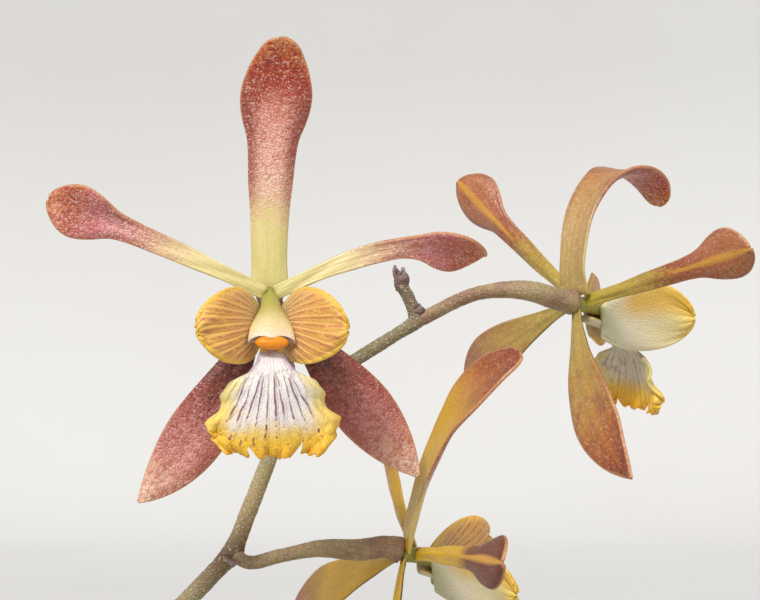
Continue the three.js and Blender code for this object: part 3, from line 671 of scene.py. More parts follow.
def blotches_effect():
    """Soft patches of a chosen size."""
    inputs = {"Size": 0.002, "Start": 0.45, "End": 0.6, "Detail": 4.0, "Shift": 0.0}
    nodes = Effect("Blotches", inputs, "Mask")
    given = nodes.given
    shift = nodes.join_xyz(given["Shift"], given["Shift"], given["Shift"])
    vector = nodes.add("VectorMath", {0: nodes.place(), 1: shift}, operation="ADD").outputs[0]
    sockets = {"Vector": vector, "Scale": nodes.scale(), "Detail": given["Detail"], "Roughness": 0.6}
    noise = nodes.add("TexNoise", sockets).outputs[0]
    return nodes.done(Mask=nodes.ease(noise, given["Start"], given["End"]))


def strands_effect():
    """Fine lines that run along a leaf, a sheath or a petal, from its own lay."""
    nodes = Effect("Strands", {"Count": 30.0, "Break": 2.0, "Waver": 0.3}, "Mask")
    across, share = nodes.read("across", "along")
    waver = nodes.product(nodes.noise(nodes.place(), 0.004, 2.0), nodes.given["Waver"])
    line = nodes.math("ADD", nodes.product(across, nodes.given["Count"]), waver)
    lay = nodes.join_xyz(line, nodes.product(share, nodes.given["Break"]), 0.0)
    return nodes.done(Mask=nodes.noise(lay, 1.0, 2.0, 0.5))


def dust_effect():
    """Where dust and lime settle: on what faces up, in patches."""
    nodes = Effect("Dust", {"Size": 0.004}, "Mask")
    upward = nodes.add("SeparateXYZ", {"Vector": nodes.add("NewGeometry").outputs["Normal"]}).outputs[2]
    patches = nodes.add("TexNoise", {"Vector": nodes.place(), "Scale": nodes.scale()}).outputs[0]
    return nodes.done(Mask=nodes.product(nodes.ease(upward, 0.3, 0.95), nodes.ease(patches, 0.4, 0.7)))


EFFECTS = {"Cells": cells_effect, "Blotches": blotches_effect, "Strands": strands_effect, "Dust": dust_effect}
FLESH = {"Subsurface Weight": 0.12, "Subsurface Scale": 0.0008, "Subsurface Radius": (1.0, 0.45, 0.25)}
GLOSS = {"Coat Weight": 0.15, "Coat Roughness": 0.15}


class Skin(Tree):
    """The node tree of a new material, whose shader starts with plain values."""

    def __init__(self, name, roughness, specular, more=None):
        self.material = bpy.data.materials.new(name)
        self.material.use_nodes = True
        super().__init__(self.material.node_tree)
        self.shader = self.tree.nodes["Principled BSDF"].inputs
        self.feed(self.shader, {"Roughness": roughness, "Specular IOR Level": specular, **(more or {})})

    def done(self, colour, normal=None, roughness=None):
        self.feed(self.shader, {"Base Color": colour, "Normal": normal, "Roughness": roughness})
        return self.material


# Materials of the pot and of what stands in it

def clay_material(colours):
    """Unglazed clay: turning rings, a darker damp foot, and pale lime where water dried."""
    nodes = Skin("clay", 0.88, 0.25)
    height, grit = nodes.height(), nodes.blotches(0.0012, 0.35, 0.65, 3.0)
    line = nodes.product(nodes.ease(height, 0.05, 0.068), nodes.ease(height, 0.085, 0.07))
    lime = nodes.blotches(0.011, 0.35, 0.8, 7.0)
    colour = nodes.coats(
        nodes.mix(nodes.blotches(0.022, 0.3, 0.7), "#9c5638", colours.clay),
        ("#c58763", grit, 0.35),
        ("#5d3a2b", nodes.ease(height, 0.03, 0.0), nodes.blotches(0.009), 0.6),
        ("#d9cbbb", lime, 0.42, nodes.math("ADD", 0.3, line)),
        ("#cbb9a6", nodes.group("Dust", size=0.003)[0], 0.4),
    )
    rings = nodes.noise(nodes.place((0.02, 0.02, 1)), 0.0011, 2.0)
    return nodes.done(colour, nodes.bump(grit, 0.00012, nodes.bump(rings, 0.00025)))


def bark_material(colours):
    """Bark chips: layered faces with fibres along them, each chip with its own tone."""
    nodes = Skin("bark", 0.9, 0.2)
    x, y, z, tone = nodes.read("chip_x", "chip_y", "chip_z", "chip_tone")
    layers = nodes.noise(nodes.join_xyz(nodes.product(x, 0.25), nodes.product(y, 0.4), z), 0.7, 3.0)
    fibres = nodes.noise(nodes.join_xyz(nodes.product(x, 0.12), y, nodes.product(z, 2)), 0.35, 4.0)
    colour = nodes.coats(
        nodes.ramp(tone, (0, "#34211a"), (0.4, colours.bark), (0.75, "#7a4a2e"), (1, "#96694a")),
        ("#2a1a13", nodes.ease(layers, 0.4, 0.65)),
        ("#a8795a", nodes.ease(fibres, 0.45, 0.7), 0.55),
        ("#8d8476", nodes.blotches(0.004, 0.6, 0.75), 0.5),
    )
    return nodes.done(colour, nodes.bump(fibres, 0.0004, nodes.bump(layers, 0.0006)))


def root_material():
    """Silvery corky roots, greener where they are young."""
    nodes = Skin("root", 0.75, 0.3)
    fine = nodes.blotches(0.0006, 0.4, 0.6)
    colour = nodes.mix(nodes.blotches(0.005, 0.35, 0.7), "#b9b49a", "#8f9469")
    return nodes.done(nodes.tint(colour, "#d9d6c6", fine, 0.4), nodes.bump(fine, 0.0001))


def bulb_material(colours):
    """Smooth green pseudobulb, yellower on top, with fine specks and lengthwise lines."""
    nodes = Skin("bulb", 0.42, 0.45, FLESH)
    lines = nodes.noise(nodes.place((1, 1, 0.04)), 0.0009, 3.0)
    colour = nodes.coats(
        nodes.ramp(nodes.read("along"), (0, "#6a7a38"), (0.45, colours.bulb), (1, "#93a04e")),
        ("#55702e", nodes.blotches(0.006, 0.35, 0.65), 0.5),
        ("#4a4527", nodes.blotches(0.0005, 0.58, 0.66, 2.0), 0.5),
        ("#a8ae62", nodes.ease(lines, 0.5, 0.7), 0.35),
    )
    return nodes.done(colour, nodes.bump(lines, 0.00018))


def sheath_material(colours):
    """Dry papery sheath: straw to grey-brown, split into fibres."""
    nodes = Skin("dry_sheath", 0.7, 0.3)
    lines = nodes.noise(nodes.place((1, 1, 0.03)), 0.0007, 4.0, 0.7)
    colour = nodes.coats(
        nodes.ramp(lines, (0.3, "#6f5a41"), (0.55, colours.sheath), (0.8, "#d8c6a0")),
        ("#8a7355", nodes.ease(nodes.read("along"), 0.6, 1.0), 0.5),
        ("#54402e", nodes.blotches(0.003, 0.6, 0.72), 0.5),
    )
    return nodes.done(colour, nodes.bump(lines, 0.0003))


def leaf_material(colours):
    """Leathery leaf: lengthwise veins, a paler keel, a darker end and a dry tip."""
    nodes = Skin("leaf", 0.4, 0.45, FLESH)
    share, across, back = nodes.read("along", "across", "back")
    veins = nodes.group("Strands", count=26.0, waver=0.4)[0]
    patches = nodes.blotches(0.012, 0.35, 0.7)
    colour = nodes.coats(
        nodes.ramp(share, (0, "#8b9a52"), (0.12, "#5d7f38"), (0.5, colours.leaf), (1, "#476a2c")),
        ("#3a5c27", patches, 0.45),
        ("#86a354", nodes.ease(veins, 0.45, 0.7), 0.35),
        ("#8fa95c", nodes.ease(nodes.math("ABSOLUTE", across), 0.12, 0.02), 0.4),
        ("#7f9a5a", back, 0.4),
        ("#a9a564", nodes.blotches(0.0011, 0.63, 0.7, 5.0), 0.45),
        ("#8f6f3f", nodes.ease(share, 0.965, 1.0), nodes.blotches(0.003, 0.3)),
        ("#c9c6b4", nodes.group("Dust")[0], 0.12),
    )
    return nodes.done(colour, nodes.bump(veins, 0.00022), nodes.ease(patches, 0.0, 1.0, 0.34, 0.5))


def stem_material(colours):
    """Wiry stem: smooth and green below, pale, warty and shaded brown towards its top."""
    nodes = Skin("stem", 0.55, 0.35, FLESH)
    ramp = nodes.ramp(
        nodes.ease(nodes.height(), 0.12, 0.29), (0, "#6f8440"), (0.6, "#9aa05c"), (0.86, "#cdc39a"),
        (0.905, "#c2b48f"), (0.927, "#86695a"), (0.937, "#c3ae88"), (0.948, "#dfca9e"), (0.962, "#d6cba0"),
        (0.98, "#b9b086"), (1, "#a3947f"),
    )
    cells = nodes.cells(0.00022)
    colour = nodes.tint(ramp, colours.stem, nodes.blotches(0.0012, 0.45, 0.7), 0.35)
    # Painted shade: darker in the pits between the raised cells, lighter on their domes
    colour = nodes.mix(nodes.product(cells[0], 0.5), nodes.mix(1.0, colour, "#c9c1b4", "MULTIPLY"), ramp)
    # Painted highlights: pale specks on the glinting cells
    colour = nodes.tint(colour, "#e4e2c4", cells[2], 0.5)
    return nodes.done(colour, nodes.bump(cells[0], 0.00009))


def bract_material():
    """Withered bract: brown-purple and thin."""
    nodes = Skin("bract", 0.6, 0.3)
    cells = nodes.cells(0.00025)
    colour = nodes.ramp(nodes.read("along"), (0, "#8d7d62"), (0.5, "#8b6f6a"), (1, "#a89a98"))
    return nodes.done(nodes.tint(colour, "#6a4030", cells[1], 0.4), nodes.bump(cells[0], 0.00008))


# Materials of the blooms

def pedicel_material(colours):
    """Flower stalk and ovary: olive-beige with mauve-brown tints."""
    nodes = Skin("pedicel", 0.5, 0.4, FLESH)
    cells = nodes.cells(0.0002)
    colour = nodes.coats(
        colours.pedicel,
        ("#94685a", nodes.blotches(0.004, 0.42, 0.62), 0.75),
        ("#6d5a3d", nodes.ease(cells[1], 0.0, 1.0, 0.0, 0.3)),
        # Painted highlights: pale specks on the glinting cells
        ("#e0d3b4", cells[2], 0.35),
    )
    return nodes.done(colour, nodes.bump(cells[0], 0.00006))


def tepal_material(colours, name, front, behind, stripe, flush, painted_from, sparkle):
    """Sepal or petal: colours run from the claw to the tip, grainy, with painted glints on some cells and
    painted shade in the hollows between them.

    front and behind are the colours of its two sides by share of the length, stripe the strength of the
    clear midrib behind, flush how much redder the front turns beside its middle, painted_from where the
    grain starts and is full, and sparkle the strength of the grain with its painted glints and shade.
    """
    nodes = Skin(name, 0.4, 0.6, FLESH)
    share, margin, back, ripe, scorched = nodes.read("along", "margin", "back", "ripe", "scorched")
    across = nodes.math("ABSOLUTE", nodes.read("across"))
    cells, coarse = nodes.cells(0.00017), nodes.cells(0.00026)
    waver = nodes.product(nodes.noise(nodes.place(), 0.0025, 5.0, 0.75), 0.2)
    ragged = nodes.ease(coarse[1], 0.0, 1.0, 0.15, 0.05)
    place = nodes.math("SUBTRACT", nodes.math("ADD", share, waver), ragged)
    painted = nodes.ease(place, *painted_from)
    belt = nodes.product(painted, nodes.ease(share, 0.85, 0.7))
    rust = nodes.blotches(0.0021, 0.5, 0.64, 9.0)
    inner = nodes.coats(
        nodes.ramp(place, *front),
        (colours.flush, nodes.ease(across, 0.25, 0.8), belt, flush),
        ("#b65a2c", rust, nodes.ease(share, 0.7, 0.86, 0.0, 0.55)),
    )

    dark = nodes.mix(1.0, inner, "#c8705c", "MULTIPLY")
    grainy = nodes.product(painted, sparkle)
    # Painted shade: the colour is darkened in the hollows between the fine cells
    shaded_hollows = nodes.math("MAXIMUM", cells[3], nodes.product(coarse[3], 0.7))
    # Painted highlights: pale glints laid on some of the cells
    painted_glints = nodes.math("MAXIMUM", cells[2], nodes.product(coarse[2], 0.65))
    grain = nodes.ease(nodes.blotches(0.0008, 0.4, 0.6, detail=2.0), 0.0, 1.0, 0.3, 0.85)
    inner = nodes.coats(
        inner,
        # Painted shade in the hollows, darker cells by their own tone, then painted glints
        (dark, shaded_hollows, grainy, 0.45),
        (dark, nodes.ease(coarse[1], 0.45, 0.15), grainy, 0.65),
        (colours.glint, painted_glints, grainy, grain),
    )

    veins = nodes.group("Strands", count=6.0, waver=0.6)[0]
    midrib = nodes.product(nodes.ease(across, 0.2, 0.04), nodes.ease(share, 0.5, 0.62))
    outer = nodes.coats(
        nodes.ramp(place, *behind),
        ("#8a5a34", nodes.ease(veins, 0.45, 0.7), 0.35),
        ("#8a452c", nodes.blotches(0.0018, 0.48, 0.72, 4.0), painted, 0.65),
        ("#7c4234", nodes.ease(margin, 0.9, 0.15), painted, 0.4),
        ("#e8c89a", nodes.ease(cells[1], 0.7, 1.0, 0.0, 0.25)),
        ("#d2a41a", ripe, nodes.ease(share, 0.85, 0.55), 0.82),
        # Partly the blade's own darker brown, partly painted shade of a curled cup that the mesh lacks
        ("#5c2412", scorched, nodes.ease(share, 0.5, 0.66), 0.85),
        (colours.stripe, midrib, stripe),
    )

    rim = nodes.product(nodes.ease(margin, 0.26, 0.05), nodes.ease(share, 0.45, 0.7, 0.0, 0.5))
    colour = nodes.tint(nodes.mix(back, inner, outer), colours.rim, rim)
    fronts = nodes.product(painted, nodes.ease(back, 0.0, 1.0, 1.0, 0.35))
    domes = nodes.product(cells[0], nodes.ease(fronts, 0.0, 1.0, 0.15, 1.0))
    relief = nodes.bump(domes, 0.00005, nodes.bump(veins, 0.00006))
    relief = nodes.bump(nodes.product(coarse[0], fronts), 0.00005, relief)
    return nodes.done(colour, relief, nodes.ease(cells[1], 0.0, 1.0, 0.24, 0.5))


def fan_lines(nodes, spacing, width, waver=0.25, size=0.0012):
    """Thin lines that fan out from the root of a lobe, this many degrees apart, as a mask."""
    shift = nodes.product(nodes.noise(nodes.place(), size, 3.0), waver)
    place = nodes.math("ADD", nodes.math("DIVIDE", nodes.read("fan"), spacing), shift)
    return nodes.ease(nodes.math("PINGPONG", place, 0.5), width, width * 0.35)


def side_lobe_material(colours):
    """Side lobe of the lip: cream to yellow, with pink-brown lines that stop short of a clear margin."""
    nodes = Skin("side_lobe", 0.42, 0.45, FLESH)
    share, margin, back, upper = nodes.read("along", "margin", "back", "upper")
    base = nodes.ramp(share, (0, "#e2cf9c"), (0.3, "#e3b878"), (0.65, colours.lobe), (1, "#e9b858"))
    finer = nodes.product(fan_lines(nodes, 2.8, 0.2), nodes.ease(share, 0.45, 0.7), 0.8)
    marks = nodes.math("MAXIMUM", fan_lines(nodes, 5.6, 0.24), finer)
    broken, clear = nodes.blotches(0.0007, 0.25, 0.55), nodes.ease(margin, 0.3, 0.75, 0.0, 0.72)
    inner = nodes.tint(base, colours.vein, marks, broken, clear)
    inner = nodes.tint(inner, colours.lip_margin, nodes.ease(margin, 0.65, 0.15, 0.0, 0.55))
    cream = nodes.ramp(share, (0, "#c9c79a"), (0.25, "#e6dcc0"), (0.75, "#e8d8a0"), (1, "#ecc94e"))
    outer = nodes.tint(cream, "#e3b53c", nodes.ease(upper, -0.25, 0.45), nodes.ease(share, 0.1, 0.4), 0.85)
    ridges = nodes.product(fan_lines(nodes, 5.6, 0.5), nodes.ease(back, 0.0, 1.0, 1.0, 0.02))
    relief = nodes.bump(nodes.cells(0.0002)[0], 0.00003, nodes.bump(ridges, 0.00006))
    return nodes.done(nodes.mix(back, inner, outer), relief)


def mid_lobe_material(colours):
    """Middle lobe of the lip: white with purple lines and dots, and a golden ruffled margin."""
    nodes = Skin("mid_lobe", 0.42, 0.45, FLESH)
    share, margin, back = nodes.read("along", "margin", "back")
    across, angle = (nodes.math("ABSOLUTE", side) for side in nodes.read("across", "fan"))
    gold = nodes.ramp(share, (0.3, "#ecdc90"), (0.6, "#efd070"), (0.85, colours.lip_margin), (1, "#eda922"))
    spread = nodes.math("ADD", nodes.noise(nodes.place(), 0.0014, 3.0), 0.5)
    reach = nodes.product(nodes.ease(share, 0.3, 1.0, 0.0014, 0.0062), spread, 1000.0)
    golden = nodes.ease(nodes.math("DIVIDE", margin, reach), 1.1, 0.3)
    golden = nodes.product(golden, nodes.ease(share, 0.2, 0.32))
    white = nodes.coats(
        colours.lip_white,
        ("#d9c3cf", nodes.blotches(0.0009, 0.4, 0.65), 0.35),
        ("#b79ab8", nodes.ease(across, 0.55, 0.9), nodes.ease(share, 0.42, 0.2), 0.75),
        ("#ead7a4", nodes.ease(angle, 27.0, 33.0), nodes.ease(share, 0.2, 0.3), 0.8),
    )

    spacing = math.degrees(colours.line_spacing)
    run = nodes.product(nodes.ease(share, 0.2, 0.34), nodes.ease(share, 0.7, 0.56))
    dashes = nodes.product(run, nodes.blotches(0.0008, 0.3, 0.45))
    dots = nodes.blotches(0.00045, 0.52, 0.58, 1.0)
    trail = nodes.product(nodes.ease(share, 0.5, 0.62), nodes.ease(share, 0.97, 0.8))
    trail = nodes.product(dots, trail)
    marks = nodes.product(nodes.math("ADD", dashes, trail), fan_lines(nodes, spacing, 0.17, 0.34, 0.001))
    marks = nodes.product(nodes.math("MINIMUM", marks, 1.0), nodes.ease(angle, 31.0, 28.0))
    inner = nodes.tint(nodes.mix(golden, white, gold), colours.line, marks, 0.85)
    freckles = nodes.product(dots, nodes.ease(share, 0.2, 0.4, 0.0, 0.3))
    outer = nodes.mix(golden, nodes.tint("#e6e0cc", colours.line, freckles), gold)
    relief = nodes.bump(fan_lines(nodes, spacing, 0.45, 0.34, 0.001), 0.00008)
    relief = nodes.bump(nodes.cells(0.00022)[0], 0.00003, relief)
    return nodes.done(nodes.mix(back, inner, outer), relief)


def column_material(colours):
    """Column: green neck, cream sides, a near-white rim and a dark hollow, finely specked."""
    nodes = Skin("column_skin", 0.38, 0.5, FLESH)
    colour = nodes.ramp(
        nodes.read("along"), (0, "#9a9a44"), (0.45, "#aba24c"), (0.62, "#bcab5e"), (0.78, "#d6c48a"),
        (0.9, "#e4cd9c"), (1, "#ead4bc"),
    )
    colour = nodes.tint(colour, colours.column, nodes.blotches(0.0007, 0.55, 0.7), 0.25)
    colour = nodes.tint(colour, "#8d7263", nodes.read("hollow"), 0.8)
    return nodes.done(colour, nodes.bump(nodes.cells(0.0002)[0], 0.00003))


def anther_material(colours):
    """Anther cap: glossy orange with deeper patches."""
    nodes = Skin("anther", 0.3, 0.5, GLOSS)
    colour = nodes.tint(colours.anther, "#e07e00", nodes.blotches(0.0009, 0.4, 0.65), 0.5)
    return nodes.done(colour, nodes.bump(nodes.cells(0.0003)[0], 0.00002))


# The pot and what stands in it

def inner_radius(z):
    """Radius of the pot's inside at this height above its underside."""
    low = lerp(POT["base"], POT["body_top"], z / BAND_BOTTOM)
    high = lerp(POT["body_top"], POT["rim"], (z - BAND_BOTTOM) / POT["band"])
    outer = low if z < BAND_BOTTOM else high
    return min(outer, lerp(POT["base"], POT["rim"], z / POT["height"])) - POT["wall"]


def make_pot(settings):
    """Tapered clay wall with a deep band under its rim, a floor and drain holes."""
    height, floor = POT["height"], POT["floor"]
    profile = [
        (0, 0), (POT["base"], 0), (POT["body_top"], BAND_BOTTOM), (POT["band_bottom"], BAND_BOTTOM + 0.6),
        (POT["rim"], height), *((inner_radius(z), z) for z in (height, BAND_BOTTOM, floor)), (0, floor),
    ]
    fine = respaced([(radius, z, 0) for radius, z in rounded(profile, POT["rounding"])], 1.4)
    piece = lathe("clay_pot", fine[:, :2], 144)
    roughen(piece, "CLOUDS", 16, settings.clay_relief / MM, noise_depth=2)
    for i in range(DRAIN["count"]):
        angle = (i + 0.5) * TURN / DRAIN["count"]
        place = (DRAIN["ring"] * math.cos(angle), DRAIN["ring"] * math.sin(angle), floor / 2)
        size = {"radius": DRAIN["radius"], "depth": 3 * floor}
        cutter = added("cylinder", "drain", vertices=32, location=place, **size)
        shape_with(piece, "BOOLEAN", object=cutter, operation="DIFFERENCE", solver="EXACT")
        bpy.data.objects.remove(cutter)
    hand_over(dress(piece, clay_material(settings)), "pot", crease=50)


def bark_chip(random):
    """One chip of bark: a broken, layered block, about one unit long."""
    chip = added("cube", "chip", size=1)
    bpy.ops.object.mode_set(mode="EDIT")
    bpy.ops.mesh.subdivide(number_cuts=3)
    bpy.ops.object.mode_set(mode="OBJECT")
    places = corners(chip)
    spots = {}
    for place in places:
        key = tuple(np.round(place * 2))
        spots.setdefault(key, random.uniform(-0.09, 0.09, 3))
        place += spots[key] + random.uniform(-0.02, 0.02, 3)
    move_corners(chip, places)
    shape_with(chip, "BEVEL", width=0.03, segments=1, limit_method="ANGLE")
    return chip


def make_bark(settings):
    """A heap of bark chips over a plug of finer bark that fills the pot."""
    random = np.random.default_rng(BARK_SEED)
    level, floor, longest = BARK_LEVEL, POT["floor"] + SEAT_GAP, settings.chip_length / MM
    plug = lathe("plug", [
        (0, floor), (inner_radius(floor) - 3.5, floor), (inner_radius(floor + 3) - SEAT_GAP, floor + 3.2),
        (inner_radius(BAND_BOTTOM) - SEAT_GAP, BAND_BOTTOM), (inner_radius(level) - SEAT_GAP, level - 4),
        (30, level - 3.6), (15, level - 3.4), (0, level - 3.2),
    ], 48)
    shapes = [bark_chip(random) for _ in range(CHIP_SHAPES)]
    heap = [plug]
    for count, depth, size, clear in CHIP_LAYERS:
        for i in range(count):
            share = math.sqrt((i + 0.5) / count)
            ring = (inner_radius(level) - 5.5 * size) * share
            angle = i * GOLDEN_ANGLE + count
            x, y = ring * math.cos(angle), ring * math.sin(angle)
            if any(math.hypot(x - b["x"], y - b["y"]) < b["radius"] * 0.62 + clear for b in BULBS):
                continue
            chip = shapes[i % len(shapes)].copy()
            chip.data = chip.data.copy()
            bpy.context.collection.objects.link(chip)
            scale = [random.uniform(*span) * size * longest for span in CHIP]
            lay = dict(zip(("chip_x", "chip_y", "chip_z"), (corners(chip) * scale).T))
            note(chip, **lay, chip_tone=random.uniform(0, 1))
            turns = zip("XYZ", ((-0.4, 0.4), (-0.4, 0.4), (0, TURN)))
            nod, lean, heading = (Matrix.Rotation(random.uniform(*span), 4, axis) for axis, span in turns)
            rise = level - depth + 2.4 * (1 - share) + random.uniform(-1.0, 1.2)
            turn = heading @ nod @ lean @ Matrix.Diagonal((*scale, 1))
            chip.data.transform(Matrix.Translation((x, y, rise)) @ turn)
            heap.append(chip)
    for shape in shapes:
        bpy.data.objects.remove(shape)
    hand_over(dress(joined("bark_chips", heap), bark_material(settings)), "bark_mix", crease=35)


def make_roots(settings):
    """Creeping rhizome with corky roots that run over the bark and dive into it."""
    z = BARK_LEVEL - RHIZOME["depth"]
    course = [np.array([bulb["x"], bulb["y"], z]) for bulb in BULBS]
    ends = [end + unit(end - by) * RHIZOME["overhang"] for end, by in (course[:2], course[:-3:-1])]
    path = curve_through([ends[0], *course, ends[1]], 0.7)
    share = np.linspace(0, 1, len(path))
    tips = np.sqrt(np.clip(np.minimum(share, 1 - share) / 0.03, 0.05, 1))
    pieces = [tube("runner", path, RHIZOME["radius"] * (1 - 0.12 * np.cos(40 * share)) * tips, 24)]
    top = BARK_LEVEL
    heights = {0: z, 0.25: z + 1.6, 0.55: top - 0.2, 0.88: top - 2, 1: top - ROOT["dive"]}
    for bulb, heading, reach in ROOTS:
        way = compass(heading) * reach
        spine = [course[bulb] + way * share + (0, 0, height - z) for share, height in heights.items()]
        pieces.append(tube("root", curve_through(spine, 0.6), ROOT["radius"], 18))
    piece = joined("rhizome_and_roots_fine", pieces)
    roughen(piece, "CLOUDS", 1.2, settings.root_relief / MM, noise_depth=2)
    hand_over(dress(piece, root_material()), "rhizome_and_roots")


def bulb_radius(bulb, t):
    """Radius of a pseudobulb's egg-shaped cone, by share of its height."""
    swell = lerp(BULB["foot"], bulb["radius"], np.sin(np.clip(t / BULB["fullest"], 0, 1) * math.pi / 2))
    fall = np.cos(np.clip((t - BULB["fullest"]) / (1 - BULB["fullest"]), 0, 1) * math.pi / 2) ** 0.85
    return np.where(t < BULB["fullest"], swell, lerp(BULB["shoulder"], bulb["radius"], fall))


def rolled(name, columns, rows, bulb, reach, top=still(1), swell=0.0):
    """A grid rolled round a pseudobulb, up to a share of its height that top(angle) varies.

    reach is that share and swell how far outside the pseudobulb's skin the grid lies.
    """
    piece, turn, share = unit_grid(name, columns, rows)
    angle = TURN * turn
    t = share * reach * top(angle)
    ridge = 1 + BULB["ridge_depth"] * np.cos(BULB["ridges"] * angle) * np.sin(t * math.pi)
    radius = bulb_radius(bulb, t) * ridge + swell
    x, y = bulb["x"] + radius * np.sin(angle), bulb["y"] + radius * np.cos(angle)
    move_corners(piece, np.stack([x, y, BARK_LEVEL + SEAT_GAP + t * bulb["height"]], axis=-1))
    note(piece, along=share)
    return piece


def make_pseudobulbs(settings):
    """Ridged pseudobulbs, each with two torn papery sheaths round its foot."""
    skin, paper = bulb_material(settings), sheath_material(settings)
    random = np.random.default_rng(SHEATH_SEED)
    for number, bulb in enumerate(BULBS, 1):
        body = rolled("bulb", 72, 30, bulb, 1)
        mend(body)
        roughen(body, "CLOUDS", 5, 0.35)
        parts = [dress(body, skin)]
        for layer, share in enumerate((1.15, 0.8)):
            phase, tears = bulb["x"] + 2 * layer, random.uniform(-0.12, 0.1, 65)
            tears[-1] = tears[0]

            def top(angle, phase=phase, tears=tears):
                torn = np.interp(angle, np.linspace(0, TURN, len(tears)), tears)
                return 1 + 0.22 * np.cos(2 * angle + phase) + torn

            reach = bulb["sheath"] * share / bulb["height"]
            wrap = rolled("wrap", 64, 14, bulb, reach, top, 0.35 + 0.35 * layer)
            mend(wrap, fill=False)
            shape_with(wrap, "SOLIDIFY", thickness=settings.sheath_thickness / MM, offset=0)
            roughen(wrap, "CLOUDS", 2.2, 0.3)
            parts.append(dress(wrap, paper))
        hand_over(joined(f"pseudobulb_{number}_fine", parts), f"pseudobulb_{number}")


def make_leaves(settings):
    """Channelled strap leaves that clasp at the foot and arch over."""
    skin = leaf_material(settings)
    for number, (bulb, length, heading, rise, arch, half, twist) in enumerate(LEAVES, 1):
        stand = BULBS[bulb]
        top = BARK_LEVEL + SEAT_GAP + stand["height"] - 0.6
        foot = np.array([stand["x"], stand["y"], top]) + compass(heading) * LEAF["foot"]
        pose = {"from": foot, "length": length, "heading": heading, "rise": rise}
        pose |= {"curl": -arch, "curl_power": 1.5}

        def ripple(s, t):
            edges = 0.35 * s * s * np.sin(11 * t + number) * smooth(0.2, 0.5, t)
            return edges - 0.35 * np.exp(-(s / 0.1) ** 2)

        piece = blade(
            f"leaf_{number}_fine", pose, outline({**LEAF_OUTLINE, "blade": half}, 0.25),
            cup=lambda t: lerp(LEAF["foot_cup"], LEAF["blade_cup"], smooth(0, 0.3, t)),
            twist=lambda t: twist * t, wave=ripple, thickness=settings.leaf_thickness / MM,
            rim=0.45, columns=16, rows=56, crowd=1.2,
        )
        hand_over(dress(piece, skin), f"leaf_{number}")


def make_stem(settings):
    """Wiry stem with papery sheaths, a warty zigzag top, a knot at each joint and withered bracts."""
    foot = np.array([BULBS[2]["x"], BULBS[2]["y"], BARK_LEVEL + BULBS[2]["height"] - 0.4])
    lower = curve_through([foot, *STEM_COURSE, JOINTS[0]], 0.8)
    upper = softened(respaced([*JOINTS, *WITHERED_TIP], 0.18), 3)
    path = np.vstack([lower[:-1], upper])
    reach = lengths_along(path)
    joint_at = reach[len(lower) - 1]
    radii = lerp(STEM["foot"], STEM["neck"], np.clip(reach / joint_at, 0, 1))
    radii = lerp(radii, STEM["tip"], smooth(joint_at, reach[-1], reach))
    for joint in JOINTS:
        near = np.linalg.norm(path - np.array(joint), axis=1)
        radii = radii * (1 + (STEM["knot"] - 1) * np.exp(-near ** 2))
    core = tube("core", path, radii, 28)
    roughen(core, "VORONOI", 0.3, settings.wart_height / MM)
    parts = [dress(core, stem_material(settings))]
    paper, withered = bpy.data.materials.get("dry_sheath") or sheath_material(settings), bract_material()
    for share in STEM_SHEATHS["from"]:
        start, end = np.searchsorted(reach, (share * joint_at, (share + STEM_SHEATHS["span"]) * joint_at))
        t = np.linspace(0, 1, end + 1 - start)
        wrap = tube("wrap", path[start:end + 1], radii[start] + 0.45 + 0.3 * t - 0.75 * t ** 8, 24)
        parts.append(dress(wrap, paper))
    for bract in BRACTS:
        top = np.array(WITHERED_TIP[-1]) + (0.2, 0, -0.9)
        base = top if bract["at"] == "tip" else np.array(JOINTS[bract["at"]])
        scale = blade("bract", {**bract, "from": base, "curl": 20}, outline(BRACT, 0.1), cup=still(40),
                      wave=lambda s, t: 0.1 * np.sin(9 * t + 3 * s), thickness=0.3, columns=8, rows=12)
        parts.append(dress(scale, withered))
    hand_over(joined("flowering_stem_fine", parts), "flowering_stem")


# The blooms

def bloom_turn(bloom, lean=0):
    """The turn that carries a bloom's own axes (right, dorsal, front) into place. Yaw 0 faces -Y."""
    yaw, pitch, roll = (math.radians(bloom[name]) for name in ("yaw", "pitch", "roll"))
    front = Vector((math.sin(yaw) * math.cos(pitch), -math.cos(yaw) * math.cos(pitch), math.sin(pitch)))
    right = Matrix.Rotation(roll, 3, front) @ Vector((0, 0, 1)).cross(front).normalized()
    basis = Matrix((right, front.cross(right), front)).transposed().to_4x4()
    return Matrix.Translation(bloom["at"]) @ basis @ Matrix.Rotation(-math.radians(lean), 4, "X")


def make_pedicels(settings):
    """Flower stalks, finely uneven, that swell into ovaries and end in the seats of the blooms."""
    skin = pedicel_material(settings)
    for name, bloom in BLOOMS.items():
        behind = [bloom_turn(bloom) @ Vector((0, 0, PEDICEL["face"] - depth)) for depth in (1.6, 0)]
        path = curve_through([JOINTS[bloom["joint"]], *bloom["course"], *behind], 0.22)
        share = np.linspace(0, 1, len(path))
        radii = lerp(PEDICEL["radius"], PEDICEL["ovary"], smooth(0.35, 0.8, share))
        radii = lerp(radii, PEDICEL["disc"], smooth(0.9, 0.985, share))
        radii = radii * lerp(1, 0.75, smooth(0.985, 1, share))
        piece = tube(f"{name}_pedicel_fine", path, radii, 28)
        roughen(piece, "VORONOI", 0.35, 0.07)
        hand_over(dress(piece, skin), f"{name}_bloom_pedicel")


